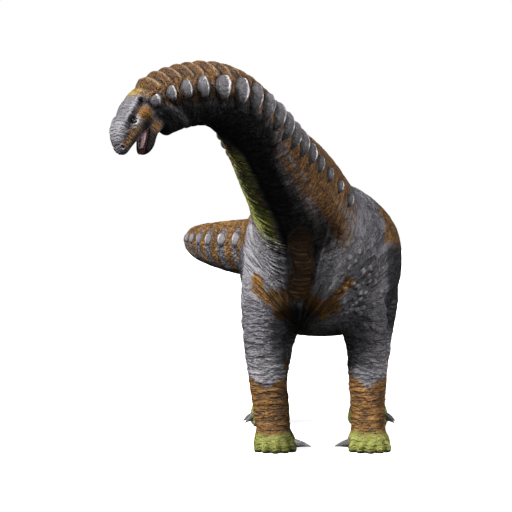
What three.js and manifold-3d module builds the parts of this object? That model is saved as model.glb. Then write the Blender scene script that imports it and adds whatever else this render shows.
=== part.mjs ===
// A life-size titanosaur, a long-necked plant-eating dinosaur, standing on four legs with its neck
// arched to its right, its head lowered and its mouth a little open.
// Millimetres, +Z up. The animal faces -Y, its left side is +X, and it stands on the floor at z = 0.
import * as THREE from "three";
import { mergeVertices } from "three/addons/utils/BufferGeometryUtils.js";
import { ConvexGeometry } from "three/addons/geometries/ConvexGeometry.js";
import Module from "manifold-3d";

const wasm = await Module();
wasm.setup();

// Driving dimensions
const gap = 0.3; // clear distance between pieces that meet
const frameShift = [900, -2112, 0]; // puts the origin under the middle of the whole animal

// The body line runs from inside the skull to the tip of the tail. Each station holds its place, its
// half width, its height above and depth below the line, the way the back points, and how square
// its section is: 2 is an ellipse, more is boxier.
const bodyStations = [
  { at: [-3160, -7960, 6420], half: [240, 290, 300], crest: [-0.6, -0.25, 0.75], square: 2 },
  { at: [-3030, -7900, 6510], half: [380, 410, 540], crest: [-0.5, -0.2, 0.85], square: 2 },
  { at: [-2850, -7800, 6590], half: [430, 455, 550], crest: [-0.35, -0.1, 0.95], square: 2 },
  { at: [-2530, -7620, 6680], half: [465, 490, 515], crest: [-0.15, 0, 1], square: 2 },
  { at: [-2150, -7360, 6730], half: [485, 505, 515], crest: [0, 0, 1], square: 2 },
  { at: [-1810, -6960, 6640], half: [515, 515, 535], crest: [0, 0, 1], square: 2 },
  { at: [-1510, -6400, 6400], half: [560, 540, 580], crest: [0, 0, 1], square: 2 },
  { at: [-1240, -5600, 6050], half: [640, 635, 685], crest: [0, 0, 1], square: 2 },
  { at: [-955, -4700, 5640], half: [755, 785, 795], crest: [0, 0, 1], square: 2 },
  { at: [-600, -3750, 5120], half: [900, 1010, 970], crest: [0, 0, 1], square: 2 },
  { at: [-320, -2850, 4500], half: [1090, 1230, 1230], crest: [0, 0, 1], square: 2.1 },
  { at: [-180, -1900, 4080], half: [1370, 1470, 1530], crest: [0, 0, 1], square: 2.25 },
  { at: [-50, -700, 3850], half: [1640, 1520, 1630], crest: [0, 0, 1], square: 2.4 },
  { at: [60, 600, 3800], half: [1740, 1390, 1560], crest: [0, 0, 1], square: 2.4 },
  { at: [150, 1900, 3880], half: [1590, 1140, 1300], crest: [0, 0, 1], square: 2.3 },
  { at: [30, 3000, 3950], half: [1190, 900, 1000], crest: [0, 0, 1], square: 2.1 },
  { at: [-460, 4050, 3950], half: [880, 760, 870], crest: [0, 0, 1], square: 2 },
  { at: [-1240, 5000, 3970], half: [710, 690, 790], crest: [0, 0, 1], square: 2 },
  { at: [-2060, 6050, 3990], half: [580, 590, 660], crest: [0, 0, 1], square: 2 },
  { at: [-2690, 7400, 4020], half: [450, 470, 500], crest: [0, 0, 1], square: 2 },
  { at: [-2940, 8900, 4040], half: [340, 350, 360], crest: [0, 0, 1], square: 2 },
  { at: [-2820, 10400, 4030], half: [230, 240, 240], crest: [0, 0, 1], square: 2 },
  { at: [-2500, 11700, 3980], half: [140, 145, 145], crest: [0, 0, 1], square: 2 },
  { at: [-2150, 12700, 3900], half: [55, 55, 55], crest: [0, 0, 1], square: 2 },
];
const headJoint = 250; // way along the body line where the head meets the neck
const neckBase = 10; // station where the neck leaves the chest
const tailBase = 15; // station where the tail leaves the hips

// Scutes stand in one row on each flank of neck and tail, at an angle from the crest of the back, and
// saddle ridges lie over the back above them. The pitch grows or shrinks evenly along each row.
const neckRow = {
  start: 140, count: 17, firstPitch: 240, lastPitch: 480, angle: 1.46,
  lengthShare: 0.38, firstHalfHeight: 100, growth: 34, mostHalfHeight: 290,
};
const ridgeRow = { start: 20, count: 28, firstPitch: 165, lastPitch: 275, spread: 0.93, height: 46 };
const backRow = { count: 8, spread: 0.5, height: 40 };
const tailRow = {
  skip: 650, count: 13, firstPitch: 650, lastPitch: 500, angle: 1.35,
  lengthShare: 0.36, halfHeight: 240, ridgeSpread: 0.85, ridgeShare: 0.9, ridgeHeight: 46,
};

// A scute's edge is sunk in the flesh and its keel lies behind its middle, at shares of its half
// height. The scutes nearest the head are lower: the first one by its share, then rising to full.
const scute = {
  height: 62, sunk: 38, rimParts: 6, keelBack: 0.25, keelShares: [-0.55, 0, 0.5],
  firstShare: 0.6, shareRise: 0.15,
};

// A ridge is a wedge, its foot, crest and sweep given as shares of its pitch.
const ridge = { sunk: 36, halfFoot: 0.44, crest: 0.14, sweep: 0.45, fade: 0.7 };

// The skull has a straight line of its own, from the back of the head to the snout. Its stations
// hold the way along it, the rise of the section's middle, half width, height, depth and squareness.
const skull = {
  back: [-3090, -7900, 6520],
  forward: [-0.42, -0.46, -0.78],
  crest: [-0.74, -0.36, 0.61],
  stations: [
    [-90, 0, 230, 250, 250, 2.2],
    [60, 0, 300, 325, 310, 2.4],
    [200, 0, 315, 350, 310, 2.5],
    [333, 0, 312, 350, 270, 2.6],
    [440, 0, 292, 305, 200, 2.6],
    [555, 0, 282, 340, 160, 2.5],
    [650, 0, 272, 325, 150, 2.4],
    [760, 0, 256, 268, 128, 2.3],
    [860, -10, 226, 190, 108, 2.2],
    [925, -30, 185, 120, 88, 2.1],
    [965, -50, 130, 70, 66, 2],
    [985, -60, 70, 35, 36, 2],
  ],
};
const eye = { along: 540, angle: 1.27, radius: 54, sunk: 0.6, rim: [74, 56], tube: 21 };
const nostril = { along: 948, angle: 0.92, rim: [46, 32], tube: 15, depth: 34 };
const ear = { along: 185, angle: 1.02, rim: [58, 46], tube: 17, depth: 40 };
const cheek = { at: [285, 238, 40], radii: [150, 105, 140] };
const brow = { from: 180, to: 600, angle: 0.66, sunk: 22, bend: 30, tube: 40 };
const hollowShare = 0.6; // how much of its rim's tube a nostril or ear opening stays clear of
const rimSunk = 4; // how deep the rims of eye, nostril and ear lie in the face
const upperLip = { from: 420, to: 945, angle: 2.0, sunk: 16, tube: 25 };

// The lower jaw turns down from its hinge. Its stations hold the way along it, half width, height
// above and depth below its own line.
const jaw = {
  hinge: [150, 0, -120],
  open: 0.38,
  stations: [
    [-130, 180, 60, 110],
    [0, 245, 80, 205],
    [180, 240, 72, 195],
    [360, 222, 66, 150],
    [500, 198, 58, 135],
    [590, 160, 46, 100],
    [635, 110, 34, 66],
    [655, 55, 16, 34],
  ],
};
const lowerLip = { from: 120, to: 620, angle: 1.2, sunk: 12, tube: 24 };
const jawCorner = { at: [120, 205, -90], radii: [150, 75, 120] };
const tongue = {
  rise: 52,
  stations: [[70, 100, 50, 40], [220, 130, 58, 45], [400, 120, 55, 45], [520, 90, 45, 40], [580, 45, 25, 25]],
};

// A toe's level, inset from the rim of the foot, width and height are shares of its size. A claw
// starts inside the rim of its foot, is flatter than thick, and tapers almost to a point.
const toe = { level: 0.62, inset: 0.45, width: 0.72, height: 1.1 };
const clawForm = { root: 90, flat: 0.72, taper: 0.93, taperPower: 1.4, shares: [0, 0.3, 0.55, 0.8, 1] };

// Each leg's stations hold the height, the middle across and along, and half widths across and along.
const foreLeg = {
  joint: 2050,
  toes: { size: 125, angles: [-1, -0.5, 0, 0.5, 1] },
  claws: [{ name: "thumb_claw", inward: true, ahead: 0.3, length: 400, thick: 98, level: 165, droop: 55 }],
};
const hindLeg = {
  joint: 1750,
  toes: { size: 145, angles: [-0.75, -0.25, 0.25, 0.75] },
  claws: [
    { name: "claw_1", ahead: 1.7, length: 300, thick: 90, level: 190, droop: 110 },
    { name: "claw_2", ahead: 0.75, length: 310, thick: 96, level: 200, droop: 120 },
    { name: "claw_3", ahead: 0.15, length: 250, thick: 90, level: 190, droop: 110 },
  ],
};
const legs = {
  fore_leg_left: {
    ...foreLeg,
    stations: [
      [0, 925, -1880, 395, 410], [70, 925, -1880, 435, 450], [220, 920, -1875, 425, 430],
      [450, 912, -1860, 345, 355], [800, 900, -1830, 345, 350], [1200, 900, -1800, 365, 385],
      [1600, 900, -1760, 385, 430], [2050, 885, -1720, 415, 500], [2500, 820, -1680, 480, 620],
      [3000, 720, -1640, 540, 760], [3550, 620, -1580, 570, 840], [4100, 500, -1500, 520, 760],
      [4600, 400, -1440, 360, 520], [4800, 380, -1420, 200, 300],
    ],
  },
  fore_leg_right: {
    ...foreLeg,
    stations: [
      [0, -965, -1880, 395, 410], [70, -965, -1880, 435, 450], [220, -970, -1875, 425, 430],
      [450, -1005, -1860, 345, 355], [800, -1040, -1830, 350, 350], [1200, -1080, -1800, 370, 385],
      [1600, -1125, -1760, 390, 430], [2050, -1165, -1720, 410, 500], [2500, -1160, -1680, 470, 620],
      [3000, -1120, -1640, 530, 760], [3550, -1060, -1580, 560, 840], [4100, -960, -1500, 520, 760],
      [4600, -820, -1440, 360, 520], [4800, -760, -1420, 200, 300],
    ],
  },
  hind_leg_left: {
    ...hindLeg,
    stations: [
      [0, 1190, 1930, 400, 470], [70, 1190, 1925, 455, 540], [220, 1190, 1930, 450, 530],
      [480, 1190, 2010, 385, 420], [800, 1200, 2070, 370, 390], [1250, 1210, 2060, 425, 450],
      [1750, 1210, 1950, 490, 560], [2300, 1170, 1900, 600, 700], [2850, 1140, 1930, 720, 860],
      [3400, 1050, 2000, 790, 960], [3900, 950, 2080, 740, 880], [4300, 800, 2150, 540, 640],
      [4500, 720, 2180, 300, 360],
    ],
  },
  hind_leg_right: {
    ...hindLeg,
    stations: [
      [0, -1035, 1930, 400, 470], [70, -1035, 1925, 455, 540], [220, -1035, 1930, 450, 530],
      [480, -1030, 2010, 385, 420], [800, -1030, 2070, 370, 390], [1250, -1030, 2060, 425, 450],
      [1750, -1010, 1950, 500, 560], [2300, -960, 1900, 610, 700], [2850, -890, 1930, 700, 860],
      [3400, -820, 2000, 760, 960], [3900, -700, 2080, 720, 880], [4300, -540, 2150, 540, 640],
      [4500, -440, 2180, 300, 360],
    ],
  },
};

// How many faces go round and along each rounded form.
const detail = {
  leg: 14, toe: [6, 4], claw: 6, head: 16, jaw: 14, tongue: 12, cheek: [9, 6], jawCorner: [8, 5],
  eyeball: [10, 7], hollow: [7, 5], eyeRim: 12, openingRim: 8, rimTube: 5, lip: [5, 16], brow: [6, 6],
};

const colours = {
  grey: 0x77757a,
  brown: 0x7a4a22,
  ochre: 0xa8651f,
  horn: 0x4c4b4d,
  eye: 0x0c0a09,
  tongue: 0x9c7076,
};

// Smooth tables and the body line

// Values read smoothly between the rows of a table whose first column says where each row stands.
function smooth(rows, where) {
  const last = rows.length - 1;
  const after = rows.findIndex((row) => row[0] > where);
  const i = after < 0 ? last - 1 : Math.max(after - 1, 0);
  const slope = (j, column) => {
    const [a, b] = [Math.max(j - 1, 0), Math.min(j + 1, last)];
    return (rows[b][column] - rows[a][column]) / (rows[b][0] - rows[a][0]);
  };
  const span = rows[i + 1][0] - rows[i][0];
  const t = (where - rows[i][0]) / span;
  const weight = 3 * t ** 2 - 2 * t ** 3;
  const leaving = t ** 3 - 2 * t ** 2 + t;
  const arriving = t ** 3 - t ** 2;
  return rows[i].map((value, column) => {
    const straight = (1 - weight) * value + weight * rows[i + 1][column];
    return straight + span * (leaving * slope(i, column) + arriving * slope(i + 1, column));
  });
}

const sampleStep = 0.02; // in stations, to either side of a place whose direction is wanted
const tiny = 1e-6;

class BodyLine {
  constructor(stations, samples = 920) {
    this.rows = stations.map((s, i) => [i, ...s.at, ...s.half, ...s.crest, s.square]);
    this.stationOf = (sample) => (sample * (stations.length - 1)) / samples;
    this.lengths = [0];
    let before = this.place(0);
    for (let i = 1; i <= samples; i++) {
      const here = this.place(this.stationOf(i));
      this.lengths.push(this.lengths[i - 1] + here.distanceTo(before));
      before = here;
    }
    this.length = this.lengths[samples];
  }

  place(station) {
    return new THREE.Vector3(...smooth(this.rows, station).slice(1, 4));
  }

  lengthAtStation(station) {
    return this.lengths.find((_, i) => this.stationOf(i) >= station - tiny);
  }

  frame(length) {
    const wanted = THREE.MathUtils.clamp(length, 0, this.length);
    const i = Math.max(this.lengths.findIndex((l) => l >= wanted - tiny), 1);
    const part = (wanted - this.lengths[i - 1]) / (this.lengths[i] - this.lengths[i - 1]);
    const station = this.stationOf(i - 1 + part);
    const along = this.place(station + sampleStep).sub(this.place(station - sampleStep)).normalize();
    const row = smooth(this.rows, station);
    const up = new THREE.Vector3(...row.slice(7, 10));
    up.addScaledVector(along, -up.dot(along)).normalize();
    return {
      at: new THREE.Vector3(...row.slice(1, 4)),
      along,
      up,
      left: along.clone().cross(up),
      half: row.slice(4, 7),
      square: row[10],
    };
  }
}

// A point on a section: angle 0 is the crest, a quarter turn is the left side.
function onSection(f, angle, lift = 0) {
  const reach = (v) => Math.sign(v) * Math.abs(v) ** (2 / f.square);
  const [cos, sin] = [reach(Math.cos(angle)), reach(Math.sin(angle))];
  const height = cos > 0 ? f.half[1] : f.half[2];
  return f.at
    .clone()
    .addScaledVector(f.left, sin * (f.half[0] + lift))
    .addScaledVector(f.up, cos * (height + lift));
}

function sectionRing(f, sides, lift = 0) {
  return Array.from({ length: sides }, (_, k) => onSection(f, (k / sides) * 2 * Math.PI, lift));
}

// Solids from geometry

// Joins closed rings of equal count, with a fan over each end, faces out.
function loft(rings) {
  const sides = rings[0].length;
  const points = rings.flat();
  const faces = [];
  const at = (i, k) => i * sides + (k % sides);
  for (let i = 0; i + 1 < rings.length; i++)
    for (let k = 0; k < sides; k++) {
      faces.push(at(i, k), at(i, k + 1), at(i + 1, k + 1));
      faces.push(at(i, k), at(i + 1, k + 1), at(i + 1, k));
    }
  for (const [ring, turned] of [[0, true], [rings.length - 1, false]]) {
    const middle = new THREE.Vector3();
    for (const p of rings[ring]) middle.addScaledVector(p, 1 / sides);
    points.push(middle);
    const hub = points.length - 1;
    for (let k = 0; k < sides; k++) {
      const [a, b] = [at(ring, k), at(ring, k + 1)];
      faces.push(...(turned ? [hub, b, a] : [hub, a, b]));
    }
  }
  let volume = 0;
  for (let i = 0; i < faces.length; i += 3) {
    const [a, b, c] = faces.slice(i, i + 3).map((index) => points[index]);
    volume += a.dot(b.clone().cross(c));
  }
  if (volume < 0)
    for (let i = 0; i < faces.length; i += 3)
      [faces[i + 1], faces[i + 2]] = [faces[i + 2], faces[i + 1]];
  return new THREE.BufferGeometry().setFromPoints(points).setIndex(faces);
}

function solidOf(geometry) {
  for (const name of Object.keys(geometry.attributes))
    if (name !== "position") geometry.deleteAttribute(name);
  const merged = mergeVertices(geometry, 1e-3);
  return new wasm.Manifold(
    new wasm.Mesh({
      numProp: 3,
      vertProperties: merged.attributes.position.array,
      triVerts: new Uint32Array(merged.index.array),
    }),
  );
}

const loftSolid = (rings) => solidOf(loft(rings));
const hullSolid = (points) => solidOf(new ConvexGeometry(points));
const joined = (solids) => solids.reduce((a, b) => a.add(b));
const largest = (solid) => solid.decompose().reduce((a, b) => (b.volume() > a.volume() ? b : a));

function ellipsoid(centre, axes, radii, parts) {
  const scaled = axes.map((axis, i) => axis.clone().multiplyScalar(radii[i]));
  const turn = new THREE.Matrix4().makeBasis(...scaled).setPosition(centre);
  return solidOf(new THREE.SphereGeometry(1, ...parts).applyMatrix4(turn));
}

// An oval rim lying on a surface, its long radius along a direction.
function rimOn({ at, out }, lengthways, radii, tube, sides) {
  const long = lengthways.clone().addScaledVector(out, -lengthways.dot(out)).normalize();
  const wide = out.clone().cross(long);
  const turn = new THREE.Matrix4().makeBasis(
    long.multiplyScalar(radii[0]),
    wide.multiplyScalar(radii[1]),
    out.clone().multiplyScalar(radii[0]),
  );
  const rim = new THREE.TorusGeometry(1, tube / radii[0], detail.rimTube, sides);
  return solidOf(rim.applyMatrix4(turn.setPosition(at)));
}

function tubeThrough(places, radius, [sides, steps]) {
  const shape = new THREE.Shape(
    Array.from({ length: sides }, (_, k) => {
      const turn = (k / sides) * 2 * Math.PI;
      return new THREE.Vector2(Math.cos(turn) * radius, Math.sin(turn) * radius);
    }),
  );
  const extrudePath = new THREE.CatmullRomCurve3(places);
  return solidOf(new THREE.ExtrudeGeometry(shape, { steps, bevelEnabled: false, extrudePath }));
}

// Scutes and saddle ridges

const body = new BodyLine(bodyStations);
const neckEnd = body.lengthAtStation(neckBase);
const tailStart = body.lengthAtStation(tailBase);

function rowPlaces({ start, count, firstPitch, lastPitch }) {
  const places = [start];
  for (let i = 1; i < count; i++) {
    const share = (i - 1) / (count - 2);
    places.push(places[i - 1] + THREE.MathUtils.lerp(firstPitch, lastPitch, share));
  }
  return places;
}

const pitchAt = ({ count, firstPitch, lastPitch }, i) =>
  THREE.MathUtils.lerp(firstPitch, lastPitch, i / (count - 1));

// An upright oval scute, keeled down its middle, its edge sunk in the flank.
function sideScute(place, angle, halfLength, halfHeight, height) {
  const side = Math.sign(angle);
  const turnPerHeight = 1 / body.frame(place).half[1];
  const on = (alongShift, down, lift) =>
    onSection(body.frame(place + alongShift), angle + side * down * turnPerHeight, lift);
  const rim = Array.from({ length: scute.rimParts }, (_, k) => {
    const turn = ((k + 0.5) / scute.rimParts) * 2 * Math.PI;
    return on(Math.cos(turn) * halfLength, Math.sin(turn) * halfHeight, -scute.sunk);
  });
  const keel = scute.keelShares.map((share) =>
    on(halfLength * scute.keelBack, halfHeight * share, height * (1 - share * share)));
  return hullSolid([...rim, ...keel]);
}

// A low wedge laid over the back like a saddle, its ends swept towards the tail.
function saddleRidge(place, spread, pitch, height) {
  const rings = [-1, -0.5, 0, 0.5, 1].map((share) => {
    const faded = height * (1 - ridge.fade * share * share);
    const swept = place + ridge.sweep * pitch * Math.abs(share);
    const on = (shareOfPitch, lift) =>
      onSection(body.frame(swept + shareOfPitch * pitch), share * spread, lift);
    return [on(-ridge.halfFoot, -ridge.sunk), on(ridge.crest, faded), on(ridge.halfFoot, -ridge.sunk)];
  });
  return loftSolid(rings);
}

const neckPlaces = rowPlaces(neckRow);
const tailPlaces = rowPlaces({ ...tailRow, start: tailStart + tailRow.skip });
const growths = [];

neckPlaces.forEach((place, i) => {
  const halfHeight = Math.min(neckRow.firstHalfHeight + neckRow.growth * i, neckRow.mostHalfHeight);
  const height = scute.height * Math.min(scute.firstShare + scute.shareRise * i, 1);
  const halfLength = pitchAt(neckRow, i) * neckRow.lengthShare;
  for (const side of [1, -1]) {
    const solid = sideScute(place, side * neckRow.angle, halfLength, halfHeight, height);
    growths.push({ place, solid });
  }
});

rowPlaces(ridgeRow).forEach((place, i) => {
  const solid = saddleRidge(place, ridgeRow.spread, pitchAt(ridgeRow, i), ridgeRow.height);
  growths.push({ place, solid });
});

for (let i = 0; i < backRow.count; i++) {
  const pitch = (tailStart - neckEnd) / backRow.count;
  const place = neckEnd + (i + 0.5) * pitch;
  growths.push({ place, solid: saddleRidge(place, backRow.spread, pitch, backRow.height) });
}

tailPlaces.forEach((place, i) => {
  const { angle, lengthShare, halfHeight, ridgeSpread, ridgeShare, ridgeHeight } = tailRow;
  const pitch = pitchAt(tailRow, i);
  const size = body.frame(place).half[1] / body.frame(tailPlaces[0]).half[1];
  for (const side of [1, -1]) {
    const solid = sideScute(place, side * angle, pitch * lengthShare, halfHeight * size, scute.height * size);
    growths.push({ place, solid });
  }
  growths.push({ place, solid: saddleRidge(place, ridgeSpread, pitch * ridgeShare, ridgeHeight * size) });
});

// Torso, neck and tail

const growthReach = 400; // how far past a cut a scute can reach
const growthRoom = 200; // more than any growth stands off the flesh
const leastStep = 40; // rings of a leg stand no closer than this to its ends

function bodyRings(from, to, sides, step, lift) {
  const count = Math.round((to - from) / step);
  return Array.from({ length: count + 1 }, (_, i) =>
    sectionRing(body.frame(from + ((to - from) * i) / count), sides, lift));
}

const afterScute = (places, i) => (places[i] + places[i + 1]) / 2;
const [lastOnNeck, lastOnTail] = [[4, 8, 12], [2, 6, 9]]; // last scute of each length but the rear ones
const neckCuts = lastOnNeck.map((i) => afterScute(neckPlaces, i));
const tailCuts = lastOnTail.map((i) => afterScute(tailPlaces, i));
const lengths = {
  neck_1: { from: headJoint, to: neckCuts[0], sides: 16, step: 240 },
  neck_2: { from: neckCuts[0], to: neckCuts[1], sides: 16, step: 330 },
  neck_3: { from: neckCuts[1], to: neckCuts[2], sides: 16, step: 400 },
  neck_4: { from: neckCuts[2], to: neckEnd, sides: 16, step: 420 },
  torso: { from: neckEnd, to: tailStart, sides: 24, step: 540 },
  tail_1: { from: tailStart, to: tailCuts[0], sides: 12, step: 450 },
  tail_2: { from: tailCuts[0], to: tailCuts[1], sides: 12, step: 560 },
  tail_3: { from: tailCuts[1], to: tailCuts[2], sides: 12, step: 640 },
  tail_4: { from: tailCuts[2], to: body.length + gap / 2, sides: 10, step: 380 },
};

// The flesh of one length, swollen by a lift, with its ends pushed out by a reach.
function fleshOf(name, lift, reach) {
  const { from, to, sides, step } = lengths[name];
  return loftSolid(bodyRings(from + gap / 2 - reach, to - gap / 2 + reach, sides, step, lift));
}

const cutterOf = (name) => fleshOf(name, 2 * gap, 2 * gap);

// One length of the body with what grows on it, its ends cut across the line.
function bodyLength(name) {
  const { from, to } = lengths[name];
  const own = growths.filter((g) => g.place > from - growthReach && g.place < to + growthReach);
  const whole = joined([fleshOf(name, 0, 0), ...own.map((g) => g.solid)]);
  return largest(whole.intersect(fleshOf(name, growthRoom, 0)));
}

const solids = new Map();
for (const name of Object.keys(lengths)) solids.set(name, bodyLength(name));

// Legs

function legLoft(stations, from, to, lift = 0) {
  const between = stations.map((s) => s[0]).filter((z) => z > from + leastStep && z < to - leastStep);
  const rings = [from, ...between, to].map((z) => {
    const [, x, y, across, lengthways] = smooth(stations, z);
    return Array.from({ length: detail.leg }, (_, k) => {
      const turn = (k / detail.leg) * 2 * Math.PI;
      const [cos, sin] = [Math.cos(turn), Math.sin(turn)];
      return new THREE.Vector3(x + cos * (across + lift), y + sin * (lengthways + lift), z);
    });
  });
  return loftSolid(rings);
}

// Blunt toes bulge from the front rim of each foot.
function toeSolids(foot, { size, angles }, lift) {
  const [, x, y, across, lengthways] = foot;
  const rise = new THREE.Vector3(0, 0, 1);
  return angles.map((angle) => {
    const out = new THREE.Vector3(Math.sin(angle), -Math.cos(angle), 0);
    const at = new THREE.Vector3(x, y, size * toe.level);
    at.x += out.x * (across - size * toe.inset);
    at.y += out.y * (lengthways - size * toe.inset);
    const radii = [size, size * toe.width, size * toe.height].map((r) => r + lift);
    return ellipsoid(at, [out, rise.clone().cross(out), rise], radii, detail.toe);
  });
}

// A tapered claw from a root point along a direction, bending downwards.
function clawSolid(root, direction, { length, thick, droop }) {
  const side = direction.clone().cross(new THREE.Vector3(0, 0, 1)).normalize();
  const rings = clawForm.shares.map((share) => {
    const at = root.clone().addScaledVector(direction, length * share);
    at.z -= droop * share * share;
    const slope = direction.clone().multiplyScalar(length);
    slope.z -= 2 * droop * share;
    const up = side.clone().cross(slope.normalize());
    const radius = thick * (1 - clawForm.taper * share ** clawForm.taperPower);
    return Array.from({ length: detail.claw }, (_, k) => {
      const turn = (k / detail.claw) * 2 * Math.PI;
      return at.clone()
        .addScaledVector(side, Math.cos(turn) * radius * clawForm.flat)
        .addScaledVector(up, Math.sin(turn) * radius);
    });
  });
  return loftSolid(rings);
}

const torsoCutter = joined([cutterOf("torso"), cutterOf("tail_1")]);

function makeLeg(name, leg) {
  const { stations, joint, toes } = leg;
  const foot = stations[1];
  const top = stations[stations.length - 1][0];
  const footFlesh = (lift) =>
    joined([legLoft(stations, 0, joint - gap / 2, lift), ...toeSolids(foot, toes, lift)]);
  solids.set(name + "_lower", largest(footFlesh(0).trimByPlane([0, 0, 1], 0)));
  const upper = legLoft(stations, joint + gap / 2, top);
  solids.set(name + "_upper", largest(upper.subtract(torsoCutter)));
  const footCutter = footFlesh(2 * gap);
  const outward = name.endsWith("left") ? 1 : -1;
  for (const claw of leg.claws) {
    const sideways = claw.inward ? -outward : outward;
    const direction = new THREE.Vector3(sideways, -claw.ahead, 0).normalize();
    const rim = 1 / Math.hypot(direction.x / foot[3], direction.y / foot[4]);
    const root = new THREE.Vector3(foot[1], foot[2], claw.level);
    root.addScaledVector(direction, rim - clawForm.root);
    const solid = clawSolid(root, direction, claw).subtract(footCutter);
    solids.set(`${name}_${claw.name}`, largest(solid));
  }
}
for (const [name, leg] of Object.entries(legs)) makeLeg(name, leg);

// Head

const headForward = new THREE.Vector3(...skull.forward).normalize();
const headUp = new THREE.Vector3(...skull.crest);
headUp.addScaledVector(headForward, -headUp.dot(headForward)).normalize();
const headLeft = headUp.clone().cross(headForward);
const headAxes = [headForward, headLeft, headUp];

// A place in the head: along the snout, to the left, and up.
function inHead(forward, left, up) {
  return new THREE.Vector3(...skull.back)
    .addScaledVector(headForward, forward)
    .addScaledVector(headLeft, left)
    .addScaledVector(headUp, up);
}

function skullFrame(way) {
  const [, rise, width, up, down, square] = smooth(skull.stations, way);
  const half = [width, up, down];
  return { at: inHead(way, 0, rise), along: headForward, up: headUp, left: headLeft, half, square };
}

const faceStep = { way: 5, turn: 0.02 }; // to the two places beside a spot that give the way it faces

// A spot on the face with the way it faces.
function faceSpot({ along, angle }, side, lift) {
  const f = skullFrame(along);
  const at = onSection(f, angle * side, lift);
  const ahead = onSection(skullFrame(along + faceStep.way), angle * side, lift).sub(at);
  const round = onSection(f, (angle + faceStep.turn) * side, lift).sub(at);
  const out = ahead.cross(round).normalize();
  if (out.dot(at.clone().sub(f.at)) < 0) out.negate();
  return { at, out };
}

const jawForward = headForward.clone().applyAxisAngle(headLeft, jaw.open);
const jawUp = headUp.clone().applyAxisAngle(headLeft, jaw.open);
const jawAxes = [jawForward, headLeft, jawUp];

function inJaw(forward, left, up) {
  return inHead(...jaw.hinge)
    .addScaledVector(jawForward, forward)
    .addScaledVector(headLeft, left)
    .addScaledVector(jawUp, up);
}

function jawFrame(stations, way, rise = 0) {
  const [, ...half] = smooth(stations, way);
  return { at: inJaw(way, 0, rise), along: jawForward, up: jawUp, left: headLeft, half, square: 2.3 };
}

const lipParts = 5;

// A lip follows an edge from one corner of the mouth round the snout to the other.
function lipSolid(frameOf, { from, to, angle, sunk, tube }, lift) {
  const side = (sign) =>
    Array.from({ length: lipParts + 1 }, (_, i) =>
      onSection(frameOf(from + ((to - from) * i) / lipParts), sign * angle, -sunk));
  return tubeThrough([...side(1), ...side(-1).reverse()], tube + lift, detail.lip);
}

const skullWays = [-90, 20, 140, 260, 370, 460, 550, 650, 740, 820, 885, 935, 968, 985];
const headPastJoint = 200; // how far the neck's own flesh runs on inside the head's before the cut
const napeStep = 110;

function headFlesh(lift) {
  const pieces = [
    loftSolid(skullWays.map((way) => sectionRing(skullFrame(way), detail.head, lift))),
    loftSolid(bodyRings(0, headJoint + headPastJoint, detail.head, napeStep, lift)),
    lipSolid(skullFrame, upperLip, lift),
  ];
  for (const side of [1, -1]) {
    const [forward, left, up] = cheek.at;
    const radii = cheek.radii.map((r) => r + lift);
    pieces.push(ellipsoid(inHead(forward, left * side, up), headAxes, radii, detail.cheek));
    const browPlaces = [0, 0.33, 0.66, 1].map((share) => {
      const along = THREE.MathUtils.lerp(brow.from, brow.to, share);
      const sunk = brow.sunk + brow.bend * (2 * share - 1) ** 2;
      return faceSpot({ along, angle: brow.angle }, side, -sunk).at;
    });
    pieces.push(tubeThrough(browPlaces, brow.tube + lift, detail.brow));
    for (const spot of [eye, nostril, ear]) {
      const sides = spot === eye ? detail.eyeRim : detail.openingRim;
      pieces.push(rimOn(faceSpot(spot, side, -rimSunk), headForward, spot.rim, spot.tube + lift, sides));
    }
  }
  return joined(pieces);
}

function eyePlace(side) {
  return faceSpot(eye, side, -eye.radius * eye.sunk).at;
}

function eyeSolid(side, lift) {
  const radius = eye.radius + lift;
  return ellipsoid(eyePlace(side), headAxes, [radius, radius, radius], detail.eyeball);
}

function makeHead() {
  const hollows = [];
  for (const side of [1, -1]) {
    hollows.push(eyeSolid(side, gap));
    for (const spot of [nostril, ear]) {
      const { at, out } = faceSpot(spot, side, 0);
      const [long, wide] = spot.rim.map((r) => r - spot.tube * hollowShare);
      const across = out.clone().cross(headForward).normalize();
      const axes = [across.clone().cross(out), across, out];
      hollows.push(ellipsoid(at, axes, [long, wide, spot.depth], detail.hollow));
    }
  }
  const nape = growths.filter((g) => g.place < headJoint + growthReach).map((g) => g.solid);
  const joint = body.frame(headJoint - gap / 2);
  const towardsHead = joint.along.clone().negate();
  const flesh = joined([headFlesh(0), ...nape]).subtract(joined(hollows));
  return largest(flesh.trimByPlane(towardsHead.toArray(), towardsHead.dot(joint.at)));
}

solids.set("head", makeHead());
for (const [name, side] of [["eye_left", 1], ["eye_right", -1]]) solids.set(name, eyeSolid(side, 0));

function jawFlesh(lift) {
  const ways = jaw.stations.map((s) => s[0]);
  const pieces = [
    loftSolid(ways.map((way) => sectionRing(jawFrame(jaw.stations, way), detail.jaw, lift))),
    lipSolid((way) => jawFrame(jaw.stations, way), lowerLip, lift),
  ];
  for (const side of [1, -1]) {
    const [forward, left, up] = jawCorner.at;
    const radii = jawCorner.radii.map((r) => r + lift);
    pieces.push(ellipsoid(inJaw(forward, left * side, up), jawAxes, radii, detail.jawCorner));
  }
  return joined(pieces);
}

const headCutter = headFlesh(2 * gap);
solids.set("lower_jaw", largest(jawFlesh(0).subtract(headCutter).subtract(cutterOf("neck_1"))));

const tongueRings = tongue.stations.map(([way]) =>
  sectionRing(jawFrame(tongue.stations, way, tongue.rise), detail.tongue));
const tongueSolid = loftSolid(tongueRings).subtract(jawFlesh(2 * gap)).subtract(headCutter);
solids.set("tongue", largest(tongueSolid));

// Materials and meshes

const finish = (color, roughness) => new THREE.MeshStandardMaterial({ color, roughness, metalness: 0 });

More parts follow.
